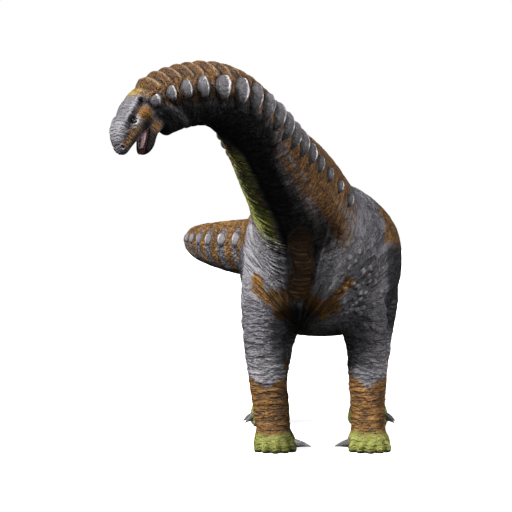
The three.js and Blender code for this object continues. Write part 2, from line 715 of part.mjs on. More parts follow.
function materialFor(name) {
  if (name.includes("claw")) return finish(colours.horn, 0.5);
  if (name.startsWith("eye")) return finish(colours.eye, 0.15);
  if (name === "tongue") return finish(colours.tongue, 0.45);
  if (name.startsWith("tail")) return finish(colours.ochre, 0.8);
  if (name.startsWith("neck")) return finish(colours.brown, 0.8);
  if (name.endsWith("_lower")) return finish(colours.ochre, 0.85);
  return finish(colours.grey, 0.85);
}

function meshOf(name, solid) {
  const m = solid.getMesh();
  const points = new Float32Array(m.numVert * 3);
  for (let i = 0; i < m.numVert; i++)
    points.set(m.vertProperties.subarray(i * m.numProp, i * m.numProp + 3), i * 3);
  const geometry = new THREE.BufferGeometry();
  geometry.setAttribute("position", new THREE.BufferAttribute(points, 3));
  geometry.setIndex(new THREE.BufferAttribute(m.triVerts, 1));
  const mesh = new THREE.Mesh(geometry, materialFor(name));
  mesh.name = name;
  return mesh;
}

const animal = new THREE.Group();
for (const [name, solid] of solids) animal.add(meshOf(name, solid));
animal.position.set(...frameShift);
export default animal;
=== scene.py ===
import math

import bpy
import numpy as np
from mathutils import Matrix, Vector
from mathutils.kdtree import KDTree


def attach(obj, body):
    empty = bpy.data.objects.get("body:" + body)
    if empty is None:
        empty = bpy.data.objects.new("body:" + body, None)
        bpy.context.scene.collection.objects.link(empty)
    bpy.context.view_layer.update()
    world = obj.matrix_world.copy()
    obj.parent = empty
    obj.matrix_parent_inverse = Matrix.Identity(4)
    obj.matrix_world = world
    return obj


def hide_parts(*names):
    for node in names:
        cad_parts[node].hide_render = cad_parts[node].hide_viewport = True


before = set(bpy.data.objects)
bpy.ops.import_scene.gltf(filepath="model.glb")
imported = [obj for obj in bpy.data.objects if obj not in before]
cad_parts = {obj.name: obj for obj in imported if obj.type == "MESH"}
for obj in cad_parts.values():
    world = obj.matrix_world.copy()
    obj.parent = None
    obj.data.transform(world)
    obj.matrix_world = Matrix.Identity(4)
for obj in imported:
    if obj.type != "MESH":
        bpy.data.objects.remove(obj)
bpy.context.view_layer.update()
bpy.ops.object.select_all(action="DESELECT")
print("frame loaded")

# A living titanosaur on its four feet. Everything is in metres, the animal faces -Y, its left is +X.
middleShift = np.array([0.9, -2.112, 0.0])  # from the place where the body line was drawn to the frame

# The body line from inside the skull to the tip of the tail, as in the part's solids: place, half
# width, height above, depth below, the way the back points, squareness of the section.
bodyStations = [
    [-3.16, -7.96, 6.42, 0.24, 0.29, 0.3, -0.6, -0.25, 0.75, 2],
    [-3.03, -7.9, 6.51, 0.38, 0.41, 0.54, -0.5, -0.2, 0.85, 2],
    [-2.85, -7.8, 6.59, 0.43, 0.455, 0.55, -0.35, -0.1, 0.95, 2],
    [-2.53, -7.62, 6.68, 0.465, 0.49, 0.515, -0.15, 0, 1, 2],
    [-2.15, -7.36, 6.73, 0.485, 0.505, 0.515, 0, 0, 1, 2],
    [-1.81, -6.96, 6.64, 0.515, 0.515, 0.535, 0, 0, 1, 2],
    [-1.51, -6.4, 6.4, 0.56, 0.54, 0.58, 0, 0, 1, 2],
    [-1.24, -5.6, 6.05, 0.64, 0.635, 0.685, 0, 0, 1, 2],
    [-0.955, -4.7, 5.64, 0.755, 0.785, 0.795, 0, 0, 1, 2],
    [-0.6, -3.75, 5.12, 0.9, 1.01, 0.97, 0, 0, 1, 2],
    [-0.32, -2.85, 4.5, 1.09, 1.23, 1.23, 0, 0, 1, 2.1],
    [-0.18, -1.9, 4.08, 1.37, 1.47, 1.53, 0, 0, 1, 2.25],
    [-0.05, -0.7, 3.85, 1.64, 1.52, 1.63, 0, 0, 1, 2.4],
    [0.06, 0.6, 3.8, 1.74, 1.39, 1.56, 0, 0, 1, 2.4],
    [0.15, 1.9, 3.88, 1.59, 1.14, 1.3, 0, 0, 1, 2.3],
    [0.03, 3.0, 3.95, 1.19, 0.9, 1.0, 0, 0, 1, 2.1],
    [-0.46, 4.05, 3.95, 0.88, 0.76, 0.87, 0, 0, 1, 2],
    [-1.24, 5.0, 3.97, 0.71, 0.69, 0.79, 0, 0, 1, 2],
    [-2.06, 6.05, 3.99, 0.58, 0.59, 0.66, 0, 0, 1, 2],
    [-2.69, 7.4, 4.02, 0.45, 0.47, 0.5, 0, 0, 1, 2],
    [-2.94, 8.9, 4.04, 0.34, 0.35, 0.36, 0, 0, 1, 2],
    [-2.82, 10.4, 4.03, 0.23, 0.24, 0.24, 0, 0, 1, 2],
    [-2.5, 11.7, 3.98, 0.14, 0.145, 0.145, 0, 0, 1, 2],
    [-2.15, 12.7, 3.9, 0.055, 0.055, 0.055, 0, 0, 1, 2],
]
neckBase = 10
tailBase = 15
neckRow = {"start": 0.14, "count": 17, "firstPitch": 0.24, "lastPitch": 0.48, "angle": 1.46,
           "lengthShare": 0.37, "firstHeight": 0.10, "heightStep": 0.034, "mostHeight": 0.29,
           "rise": 0.105, "firstRise": 0.6, "riseStep": 0.15,
           "fade": 0.45, "fadeFrom": 9.5, "fadeTo": 15.0}
ridgeRow = {"start": 0.02, "count": 28, "firstPitch": 0.165, "lastPitch": 0.275}
tailRow = {"skip": 0.65, "count": 13, "firstPitch": 0.65, "lastPitch": 0.5, "angle": 1.35,
           "lengthShare": 0.36, "height": 0.24, "rise": 0.07}
plateShape = {"parts": 15, "keel": 0.22, "sunk": 0.07, "rough": 0.10, "lean": 0.16,
              "edge": 0.34, "top": 0.86}

skull = {
    "back": [-3.09, -7.9, 6.52],
    "forward": [-0.42, -0.46, -0.78],
    "crest": [-0.74, -0.36, 0.61],
    "stations": [
        [-0.09, 0, 0.23, 0.25, 0.25, 2.2], [0.06, 0, 0.3, 0.325, 0.31, 2.4],
        [0.2, 0, 0.315, 0.35, 0.31, 2.5], [0.333, 0, 0.312, 0.35, 0.27, 2.6],
        [0.44, 0, 0.292, 0.305, 0.2, 2.6], [0.555, 0, 0.282, 0.34, 0.16, 2.5],
        [0.65, 0, 0.272, 0.325, 0.15, 2.4], [0.76, 0, 0.256, 0.268, 0.128, 2.3],
        [0.86, -0.01, 0.226, 0.19, 0.108, 2.2], [0.925, -0.03, 0.185, 0.12, 0.088, 2.1],
        [0.965, -0.05, 0.13, 0.07, 0.066, 2], [0.985, -0.06, 0.07, 0.035, 0.036, 2],
    ],
}
jaw = {
    "hinge": [0.15, 0, -0.12],
    "open": 0.38,
    "square": 2.3,
    "stations": [
        [-0.13, 0.18, 0.06, 0.11], [0, 0.245, 0.08, 0.205], [0.18, 0.24, 0.072, 0.195],
        [0.36, 0.222, 0.066, 0.15], [0.5, 0.198, 0.058, 0.135], [0.59, 0.16, 0.046, 0.1],
        [0.635, 0.11, 0.034, 0.066], [0.655, 0.055, 0.016, 0.034],
    ],
}
tongue = {
    "rise": 0.052,
    "stations": [
        [0.07, 0.1, 0.05, 0.04], [0.22, 0.13, 0.058, 0.045], [0.4, 0.12, 0.055, 0.045],
        [0.52, 0.09, 0.045, 0.04], [0.58, 0.045, 0.025, 0.025],
    ],
}
legs = {
    "fore_leg_left": [
        [0, 0.925, -1.88, 0.395, 0.41], [0.07, 0.925, -1.88, 0.435, 0.45],
        [0.22, 0.92, -1.875, 0.425, 0.43], [0.45, 0.912, -1.86, 0.345, 0.355],
        [0.8, 0.9, -1.83, 0.345, 0.35], [1.2, 0.9, -1.8, 0.365, 0.385],
        [1.6, 0.9, -1.76, 0.385, 0.43], [2.05, 0.885, -1.72, 0.415, 0.5],
        [2.5, 0.82, -1.68, 0.48, 0.62], [3, 0.72, -1.64, 0.54, 0.76],
        [3.55, 0.62, -1.58, 0.57, 0.84], [4.1, 0.5, -1.5, 0.52, 0.76],
        [4.6, 0.4, -1.44, 0.36, 0.52], [4.8, 0.38, -1.42, 0.2, 0.3],
    ],
    "fore_leg_right": [
        [0, -0.965, -1.88, 0.395, 0.41], [0.07, -0.965, -1.88, 0.435, 0.45],
        [0.22, -0.97, -1.875, 0.425, 0.43], [0.45, -1.005, -1.86, 0.345, 0.355],
        [0.8, -1.04, -1.83, 0.35, 0.35], [1.2, -1.08, -1.8, 0.37, 0.385],
        [1.6, -1.125, -1.76, 0.39, 0.43], [2.05, -1.165, -1.72, 0.41, 0.5],
        [2.5, -1.16, -1.68, 0.47, 0.62], [3, -1.12, -1.64, 0.53, 0.76],
        [3.55, -1.06, -1.58, 0.56, 0.84], [4.1, -0.96, -1.5, 0.52, 0.76],
        [4.6, -0.82, -1.44, 0.36, 0.52], [4.8, -0.76, -1.42, 0.2, 0.3],
    ],
    "hind_leg_left": [
        [0, 1.19, 1.93, 0.4, 0.47], [0.07, 1.19, 1.925, 0.455, 0.54], [0.22, 1.19, 1.93, 0.45, 0.53],
        [0.48, 1.19, 2.01, 0.385, 0.42], [0.8, 1.2, 2.07, 0.37, 0.39], [1.25, 1.21, 2.06, 0.425, 0.45],
        [1.75, 1.21, 1.95, 0.49, 0.56], [2.3, 1.17, 1.9, 0.6, 0.7], [2.85, 1.14, 1.93, 0.72, 0.86],
        [3.4, 1.05, 2, 0.79, 0.96], [3.9, 0.95, 2.08, 0.74, 0.88], [4.3, 0.8, 2.15, 0.54, 0.64],
        [4.5, 0.72, 2.18, 0.3, 0.36],
    ],
    "hind_leg_right": [
        [0, -1.035, 1.93, 0.4, 0.47], [0.07, -1.035, 1.925, 0.455, 0.54],
        [0.22, -1.035, 1.93, 0.45, 0.53], [0.48, -1.03, 2.01, 0.385, 0.42],
        [0.8, -1.03, 2.07, 0.37, 0.39], [1.25, -1.03, 2.06, 0.425, 0.45],
        [1.75, -1.01, 1.95, 0.5, 0.56], [2.3, -0.96, 1.9, 0.61, 0.7], [2.85, -0.89, 1.93, 0.7, 0.86],
        [3.4, -0.82, 2, 0.76, 0.96], [3.9, -0.7, 2.08, 0.72, 0.88], [4.3, -0.54, 2.15, 0.54, 0.64],
        [4.5, -0.44, 2.18, 0.3, 0.36],
    ],
}
toes = {"fore": {"size": 0.125, "angles": [-1, -0.5, 0, 0.5, 1]},
        "hind": {"size": 0.145, "angles": [-0.75, -0.25, 0.25, 0.75]}}
claws = {
    "fore": [{"name": "thumb_claw", "inward": True, "ahead": 0.3, "length": 0.4, "thick": 0.098,
              "level": 0.165, "droop": 0.055}],
    "hind": [
        {"name": "claw_1", "inward": False, "ahead": 1.7, "length": 0.3, "thick": 0.09,
         "level": 0.19, "droop": 0.11},
        {"name": "claw_2", "inward": False, "ahead": 0.75, "length": 0.31, "thick": 0.096,
         "level": 0.2, "droop": 0.12},
        {"name": "claw_3", "inward": False, "ahead": 0.15, "length": 0.25, "thick": 0.09,
         "level": 0.19, "droop": 0.11},
    ],
}


# Tables, sections and the body line


# Reads a table smoothly between its rows, whose first column says where each stands.
def readTable(rows, where):
    rows = np.asarray(rows, float)
    where = np.atleast_1d(np.asarray(where, float))
    last = len(rows) - 1
    spots = rows[:, 0]
    i = np.clip(np.searchsorted(spots, where, side="right") - 1, 0, last - 1)
    before = np.maximum(np.arange(last + 1) - 1, 0)
    after = np.minimum(np.arange(last + 1) + 1, last)
    slopes = (rows[after] - rows[before]) / (spots[after] - spots[before])[:, None]
    span = (spots[i + 1] - spots[i])[:, None]
    t = (where[:, None] - spots[i][:, None]) / span
    weight = 3 * t ** 2 - 2 * t ** 3
    leaving = t ** 3 - 2 * t ** 2 + t
    arriving = t ** 3 - t ** 2
    straight = (1 - weight) * rows[i] + weight * rows[i + 1]
    return straight + span * (leaving * slopes[i] + arriving * slopes[i + 1])


def unit(v):
    return v / np.linalg.norm(v, axis=-1, keepdims=True)


def squared(v, power):
    return np.sign(v) * np.abs(v) ** power


def smoothStep(value, low, high):
    t = np.clip((value - low) / (high - low), 0, 1)
    return t * t * (3 - 2 * t)


def bell(value, middle, width):
    return np.exp(-((value - middle) / width) ** 2)


stationRows = np.array([[i, *row] for i, row in enumerate(bodyStations)], float)
stationRows[:, 1:4] += middleShift
lineStations = np.linspace(0, len(bodyStations) - 1, 3000)
linePlaces = readTable(stationRows, lineStations)[:, 1:4]
lineLengths = np.concatenate([[0], np.cumsum(np.linalg.norm(np.diff(linePlaces, axis=0), axis=1))])
bodyLength = lineLengths[-1]
neckEnd = np.interp(neckBase, lineStations, lineLengths)
tailStart = np.interp(tailBase, lineStations, lineLengths)


# The body line's place, directions and section at lengths from its head end.
def bodyAt(lengths):
    lengths = np.clip(np.atleast_1d(lengths), 0, bodyLength)
    station = np.interp(lengths, lineLengths, lineStations)
    row = readTable(stationRows, station)
    ahead = readTable(stationRows, station + 0.02)[:, 1:4]
    along = unit(ahead - readTable(stationRows, station - 0.02)[:, 1:4])
    up = row[:, 7:10]
    up = unit(up - along * np.sum(up * along, axis=1, keepdims=True))
    return {"at": row[:, 1:4], "along": along, "up": up, "left": np.cross(along, up),
            "half": row[:, 4:7], "square": row[:, 10]}


# Points on sections: angle 0 is the crest and a quarter turn is the left side.
def onSection(f, angle, lift=0.0):
    power = 2 / f["square"]
    cos, sin = squared(np.cos(angle), power), squared(np.sin(angle), power)
    height = np.where(cos > 0, f["half"][:, 1], f["half"][:, 2])
    return (f["at"] + f["left"] * (sin * (f["half"][:, 0] + lift))[:, None]
            + f["up"] * (cos * (height + lift))[:, None])


def sectionRings(f, sides):
    angles = np.arange(sides) / sides * 2 * math.pi
    rings = [onSection(f, np.full(len(f["at"]), a)) for a in angles]
    return np.stack(rings, axis=1)


headForward = unit(np.array(skull["forward"], float))
headUp = np.array(skull["crest"], float)
headUp = unit(headUp - headForward * headUp.dot(headForward))
headLeft = np.cross(headUp, headForward)
headBack = np.array(skull["back"], float) + middleShift
headAxes = np.array([headForward, headLeft, headUp])


def inHead(places):
    return headBack + np.asarray(places, float) @ headAxes


def toHead(points):
    return (points - headBack) @ headAxes.T


cosOpen, sinOpen = math.cos(jaw["open"]), math.sin(jaw["open"])
jawForward = headForward * cosOpen - headUp * sinOpen
jawUp = headUp * cosOpen + headForward * sinOpen
jawAxes = np.array([jawForward, headLeft, jawUp])
jawHinge = inHead(jaw["hinge"])


# Sections that all face the same way.
def levelSections(at, along, up, half, square):
    along, up, left = [np.tile(v, (len(at), 1)) for v in (along, up, headLeft)]
    return {"at": at, "along": along, "up": up, "left": left, "half": half, "square": square}


def headSections(stations, ways):
    row = readTable(stations, ways)
    at = headBack + row[:, :1] * headForward + row[:, 1:2] * headUp
    return levelSections(at, headForward, headUp, row[:, 2:5], row[:, 5])


def jawSections(stations, ways, rise=0.0):
    row = readTable(stations, ways)
    at = jawHinge + row[:, :1] * jawForward + rise * jawUp
    return levelSections(at, jawForward, jawUp, row[:, 1:4], np.full(len(row), jaw["square"]))


def rowPlaces(row, start):
    steps = np.linspace(row["firstPitch"], row["lastPitch"], row["count"] - 1)
    return start + np.concatenate([[0], np.cumsum(steps)])


neckPlaces = rowPlaces(neckRow, neckRow["start"])
ridgePlaces = rowPlaces(ridgeRow, ridgeRow["start"])
tailPlaces = rowPlaces(tailRow, tailStart + tailRow["skip"])


# The size of each neck scute: half its length, half its height and its rise. The last ones shrink.
def neckScute(number):
    pitch = np.interp(number, [0, neckRow["count"] - 1], [neckRow["firstPitch"], neckRow["lastPitch"]])
    share = 1 - neckRow["fade"] * smoothStep(number, neckRow["fadeFrom"], neckRow["fadeTo"])
    halfLength = neckRow["lengthShare"] * pitch * share
    halfHeight = np.minimum(neckRow["firstHeight"] + neckRow["heightStep"] * number, neckRow["mostHeight"])
    rise = neckRow["rise"] * np.minimum(neckRow["firstRise"] + neckRow["riseStep"] * number, 1)
    return halfLength, halfHeight * share, rise * share


# Seeded noise between -1 and 1 at each point.
def noise(points, seed=0):
    points = np.asarray(points, float)
    base = np.floor(points).astype(np.int64)
    f = points - base
    f = f * f * (3 - 2 * f)
    total = np.zeros(len(points))
    for corner in range(8):
        step = np.array([corner & 1, corner >> 1 & 1, corner >> 2 & 1])
        x, y, z = ((base + step) & 0xffff).T
        h = (x * 73856093) ^ (y * 19349663) ^ (z * 83492791) ^ (seed * 1013904223)
        h = (h ^ (h >> 13)) * 1274126177 & 0x7fffffff
        h = (h ^ (h >> 16)) & 0xffff
        weight = np.prod(np.where(step, f, 1 - f), axis=1)
        total += weight * h
    return total / 32767.5 - 1


def ridged(points, seed=0, octaves=2):
    total, scale, size = 0, 1.0, 1.0
    for octave in range(octaves):
        total = total + size * (1 - 2 * np.abs(noise(points * scale, seed + octave)))
        scale, size = scale * 2.1, size * 0.5
    return total


# Making meshes


def addMesh(name, points, faces):
    mesh = bpy.data.meshes.new(name)
    mesh.from_pydata([tuple(p) for p in points], [], faces)
    mesh.update()
    piece = bpy.data.objects.new(name, mesh)
    bpy.context.scene.collection.objects.link(piece)
    return piece


# Joins rings of points, with a fan over each end, faces out.
def loft(name, rings):
    count, sides = rings.shape[:2]
    points = list(rings.reshape(-1, 3))
    faces = []
    for i in range(count - 1):
        for k in range(sides):
            n = (k + 1) % sides
            faces.append((i * sides + k, i * sides + n, (i + 1) * sides + n, (i + 1) * sides + k))
    for ring, turned in ((0, True), (count - 1, False)):
        hub = len(points)
        points.append(rings[ring].mean(axis=0))
        for k in range(sides):
            pair = (ring * sides + k, ring * sides + (k + 1) % sides)
            faces.append((hub, *reversed(pair)) if turned else (hub, *pair))
    piece = addMesh(name, points, faces)
    faceOut(piece)
    return piece


def onlySelect(*pieces):
    bpy.ops.object.select_all(action="DESELECT")
    for piece in pieces:
        piece.select_set(True)
    bpy.context.view_layer.objects.active = pieces[0]


def faceOut(piece):
    onlySelect(piece)
    bpy.ops.object.mode_set(mode="EDIT")
    bpy.ops.mesh.select_all(action="SELECT")
    bpy.ops.mesh.normals_make_consistent(inside=False)
    bpy.ops.object.mode_set(mode="OBJECT")


# In edit mode, selects the edges round the openings of a mesh.
def selectOpenEdges():
    bpy.ops.mesh.select_mode(type="EDGE")
    bpy.ops.mesh.select_all(action="DESELECT")
    bpy.ops.mesh.select_non_manifold(extend=False, use_wire=False, use_boundary=True,
                                     use_multi_face=False, use_non_contiguous=False, use_verts=False)


def shadeSmooth(piece):
    onlySelect(piece)
    bpy.ops.object.shade_smooth()


def joinPieces(name, pieces):
    onlySelect(*pieces)
    if len(pieces) > 1:
        bpy.ops.object.join()
    pieces[0].name = name
    return pieces[0]


def applyModifier(piece, kind, **settings):
    modifier = piece.modifiers.new(kind, kind)
    for key, value in settings.items():
        setattr(modifier, key, value)
    onlySelect(piece)
    bpy.ops.object.modifier_apply(modifier=modifier.name)


def pointsOf(piece):
    points = np.zeros(len(piece.data.vertices) * 3)
    piece.data.vertices.foreach_get("co", points)
    return points.reshape(-1, 3)


def normalsOf(piece):
    normals = np.zeros(len(piece.data.vertices) * 3)
    piece.data.vertices.foreach_get("normal", normals)
    return normals.reshape(-1, 3)


def setPoints(piece, points):
    piece.data.vertices.foreach_set("co", points.ravel())
    piece.data.update()


# Keeps a value for each point of a piece, for its material to read: a number, a vector or a colour.
def keepValues(piece, name, kind, values):
    field = {"FLOAT": "value", "FLOAT_VECTOR": "vector", "FLOAT_COLOR": "color"}[kind]
    attribute = piece.data.attributes.new(name, kind, "POINT")
    attribute.data.foreach_set(field, np.asarray(values, np.float32).ravel())


def setGroup(piece, name, weights):
    group = piece.vertex_groups.new(name=name)
    for level in range(1, 11):
        chosen = np.flatnonzero(np.round(weights * 10) == level)
        if len(chosen):
            group.add(chosen.tolist(), level / 10, "REPLACE")


def addEllipsoid(name, centre, axes, radii, segments=24):
    bpy.ops.mesh.primitive_uv_sphere_add(segments=segments, ring_count=segments // 2, radius=1)
    piece = bpy.context.object
    piece.name = name
    setPoints(piece, centre + (pointsOf(piece) * np.asarray(radii)) @ np.asarray(axes))
    return piece


def dress(piece, material, slot, *nodes):
    piece.data.materials.clear()
    piece.data.materials.append(material)
    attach(piece, "root")
    if nodes:
        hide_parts(*nodes)


# Shader building


# Adds a node, its settings given by name and its inputs by name or number, each a value or a socket.
def addNode(tree, kind, inputs=(), **settings):
    node = tree.nodes.new("ShaderNode" + kind)
    for key, value in settings.items():
        setattr(node, key, value)
    for key, value in dict(inputs).items():
        if isinstance(value, bpy.types.NodeSocket):
            tree.links.new(value, node.inputs[key])
        else:
            node.inputs[key].default_value = value
    return node


def calculate(tree, operation, first, second=0.0):
    return addNode(tree, "Math", {0: first, 1: second}, operation=operation).outputs[0]


def product(tree, first, second):
    return calculate(tree, "MULTIPLY", first, second)


def larger(tree, first, second):
    return calculate(tree, "MAXIMUM", first, second)


def remainder(tree, value):
    return calculate(tree, "SUBTRACT", 1, value)


def rampOf(tree, value, low, high, bottom=0.0, top=1.0):
    inputs = {"Value": value, "From Min": low, "From Max": high, "To Min": bottom, "To Max": top}
    return addNode(tree, "MapRange", inputs, interpolation_type="SMOOTHSTEP").outputs[0]


def mixed(tree, factor, first, second):
    return addNode(tree, "Mix", {0: factor, 6: first, 7: second}, data_type="RGBA").outputs[2]


def blended(tree, factor, first, second):  # as mixed, for numbers
    return addNode(tree, "Mix", {0: factor, 2: first, 3: second}).outputs[0]


def newGroup(name, inputs, outputs):
    group = bpy.data.node_groups.new(name, "ShaderNodeTree")
    for key, kind in inputs.items():
        group.interface.new_socket(key, in_out="INPUT", socket_type="NodeSocket" + kind)
    for key, kind in outputs.items():
        group.interface.new_socket(key, in_out="OUTPUT", socket_type="NodeSocket" + kind)
    return group, group.nodes.new("NodeGroupInput"), group.nodes.new("NodeGroupOutput")


def newMaterial(name):
    material = bpy.data.materials.new(name)
    material.use_nodes = True
    tree = material.node_tree
    return material, tree, tree.nodes["Principled BSDF"]


def setUniform(principled, **values):
    for key, value in values.items():
        principled.inputs[key.replace("_", " ")].default_value = value


# Camera and stage


def makeCamera():
    values = {"place": (-0.45, -34.112, 4.75), "pitch": math.radians(90 - 1.585), "lens": 105.47,
              "sensor": 36, "farthest": 200}
    data = bpy.data.cameras.new("camera")
    data.lens = values["lens"]
    data.sensor_width = values["sensor"]
    data.clip_end = values["farthest"]
    camera = bpy.data.objects.new("camera", data)
    camera.location = values["place"]
    camera.rotation_euler = (values["pitch"], 0, 0)
    bpy.context.scene.collection.objects.link(camera)
    bpy.context.scene.camera = camera


def makeStage():
    values = {"floorSize": 400, "seenFloor": 0.7, "bounceFloor": 0.03, "glow": 0.88, "backdrop": 1.0,
              "fillColour": (0.86, 0.92, 1.0), "fill": 0.075,
              "keyFrom": (-0.64, -0.46, 0.76), "keyPower": 7.6, "keyAngle": 9,
              "sideFrom": (0.86, -0.16, 0.50), "sidePower": 2.3, "sideAngle": 14,
              "frontFrom": (0.45, -1.0, 0.22), "frontPower": 1.2, "frontAngle": 30}
    bpy.ops.mesh.primitive_plane_add(size=values["floorSize"])
    floor = bpy.context.object
    floor.name = "floor"
    material, tree, principled = newMaterial("paleFloor")
    seen = tree.nodes.new("ShaderNodeLightPath").outputs["Is Camera Ray"]
    tone = addNode(tree, "MapRange", {"Value": seen, "To Min": values["bounceFloor"],
                                      "To Max": values["seenFloor"]}).outputs[0]
    tree.links.new(tone, principled.inputs["Base Color"])
    glow = addNode(tree, "MapRange", {"Value": seen, "To Max": values["glow"]}).outputs[0]
    tree.links.new(glow, principled.inputs["Emission Strength"])
    setUniform(principled, Emission_Color=(1, 1, 1, 1), Roughness=1.0, Specular_IOR_Level=0.0)
    floor.data.materials.append(material)
    # The backdrop looks as pale as the lit floor, while only a faint fill falls on the animal.
    world = bpy.data.worlds.new("studio")
    world.use_nodes = True
    tree = world.node_tree
    seen = tree.nodes.new("ShaderNodeLightPath").outputs["Is Camera Ray"]
    strength = addNode(tree, "MapRange", {"Value": seen, "To Min": values["fill"],
                                          "To Max": values["backdrop"]}).outputs[0]
    tone = mixed(tree, seen, (*values["fillColour"], 1), (1, 1, 1, 1))
    background = tree.nodes["Background"]
    tree.links.new(tone, background.inputs["Color"])
    tree.links.new(strength, background.inputs["Strength"])
    bpy.context.scene.world = world
    bpy.context.scene.view_settings.view_transform = "Standard"
    for name in ("key", "side", "front"):
        data = bpy.data.lights.new(name, "SUN")
        data.energy = values[name + "Power"]
        data.angle = math.radians(values[name + "Angle"])
        lamp = bpy.data.objects.new(name, data)
        lamp.rotation_euler = Vector(values[name + "From"]).to_track_quat("Z", "Y").to_euler()
        bpy.context.scene.collection.objects.link(lamp)


makeCamera()
makeStage()
print("camera and stage made")

# Skin

skinValues = {
    "bodyVoxel": 0.028,
    "headVoxel": 0.0105,
    "headCut": 0.75,
    "joinBand": 0.02,
    "mostTriangles": 192000,
    "bodyFrom": 0.3,
    "napeTo": 1.1,
}
shellRings = {"body": 420, "skull": 90, "jaw": 60, "nape": 40, "leg": 70, "lip": 24}
shellSides = {"body": 64, "jaw": 48, "leg": 40, "lip": 10}
toeShape = {"inset": 0.45, "level": 0.62, "wide": 0.72, "high": 1.1}
# Soft swellings on each side of the head, placed from the back of the head or from the jaw's hinge.
swellings = {
    "cheek": {"onJaw": False, "at": [0.285, 0.238, 0.04], "radii": [0.15, 0.105, 0.14]},
    "jawCorner": {"onJaw": True, "at": [0.12, 0.205, -0.09], "radii": [0.15, 0.075, 0.12]},
    "flap": {"onJaw": False, "at": [0.34, 0.215, -0.25], "radii": [0.17, 0.05, 0.10]},
}
eye = {"along": 0.54, "angle": 1.27, "radius": 0.055, "sunk": 0.48, "reach": 0.12, "long": 1.25,
       "lid": 0.034, "lidAt": 0.062, "lidWidth": 0.018, "bag": 0.022, "bagAt": 0.104, "bagWidth": 0.014,
       "socket": 0.030, "socketFloor": 0.026, "socketEdge": 0.046}
nostril = {"along": 0.948, "angle": 0.92, "reach": 0.08, "rim": 0.016, "rimAt": 0.044, "rimWidth": 0.014,
           "deep": 0.034, "floor": 0.014, "edge": 0.032}
ear = {"along": 0.185, "angle": 1.02, "reach": 0.12, "rim": 0.024, "rimAt": 0.066, "rimWidth": 0.020,
       "deep": 0.045, "floor": 0.025, "edge": 0.050}
upperLip = {"from": 0.42, "to": 0.945, "angle": 2.0, "sunk": 0.012, "thick": 0.026}
lowerLip = {"from": 0.12, "to": 0.62, "angle": 1.2, "sunk": 0.008, "thick": 0.025}


def makeToes(name, stations, kind):
    _, x, y, across, lengthways = stations[1]
    size = toes[kind]["size"]
    made = []
    for number, angle in enumerate(toes[kind]["angles"]):
        out = np.array([math.sin(angle), -math.cos(angle), 0])
        inset = size * toeShape["inset"]
        at = np.array([x + out[0] * (across - inset), y + out[1] * (lengthways - inset),
                       size * toeShape["level"]]) + middleShift
        axes = np.array([out, np.cross([0, 0, 1], out), [0, 0, 1]])
        radii = [size, size * toeShape["wide"], size * toeShape["high"]]
        made.append(addEllipsoid(f"{name}_toe_{number}", at, axes, radii))
    return made


def legRings(stations):
    sides = shellSides["leg"]
    heights = np.linspace(0, stations[-1][0], shellRings["leg"])
    row = readTable(stations, heights)
    turn = np.arange(sides) / sides * 2 * math.pi
    x = row[:, 1:2] + np.cos(turn) * row[:, 3:4] + middleShift[0]
    y = row[:, 2:3] + np.sin(turn) * row[:, 4:5] + middleShift[1]
    z = np.repeat(heights[:, None], sides, axis=1)
    return np.stack([x, y, z], axis=2)


# The spot on the skull's surface at a way and an angle, with the way it faces.
def faceSpot(spot, side, lift=0.0):
    ways = np.array([spot["along"], spot["along"] + 0.005])
    f = headSections(skull["stations"], ways)
    angle = spot["angle"] * side
    at, ahead = onSection(f, np.full(2, angle), lift)
    beside = onSection(f, np.full(2, angle + 0.02 * side), lift)[0]
    out = unit(np.cross(ahead - at, beside - at))
    if out.dot(at - f["at"][0]) < 0:
        out = -out
    return at, out


# A round strip through places, as thick as its radius.
def stripThrough(name, places, radius):
    sides = shellSides["lip"]
    ahead = unit(np.gradient(places, axis=0))
    side = unit(np.cross(ahead, headLeft + 0.3 * headUp))
    up = np.cross(ahead, side)
    turn = np.arange(sides) / sides * 2 * math.pi
    rings = [at + radius * (np.outer(np.cos(turn), s) + np.outer(np.sin(turn), u))
             for at, s, u in zip(places, side, up)]
    return loft(name, np.array(rings))


def makeLips():
    made = []
    for name, lip, sectionsOf, bone in (("upperLip", upperLip, headSections, skull),
                                        ("lowerLip", lowerLip, jawSections, jaw)):
        ways = np.linspace(lip["from"], lip["to"], shellRings["lip"])
        sections = sectionsOf(bone["stations"], ways)
        left, right = [onSection(sections, np.full(len(ways), lip["angle"] * side), -lip["sunk"])
                       for side in (1, -1)]
        made.append(stripThrough(name, np.concatenate([left, right[::-1]]), lip["thick"]))
    return made


def makeSwelling(name, side):
    values = swellings[name]
    origin, axes = (jawHinge, jawAxes) if values["onJaw"] else (headBack, headAxes)
    at = origin + np.array([values["at"][0], values["at"][1] * side, values["at"][2]]) @ axes
    return addEllipsoid(name, at, axes, values["radii"])


def cutAcross(piece, length, keepAhead):
    f = bodyAt(length)
    onlySelect(piece)
    bpy.ops.object.mode_set(mode="EDIT")
    bpy.ops.mesh.select_all(action="SELECT")
    bpy.ops.mesh.bisect(plane_co=f["at"][0], plane_no=f["along"][0], clear_outer=keepAhead,
                        clear_inner=not keepAhead)
    bpy.ops.object.mode_set(mode="OBJECT")


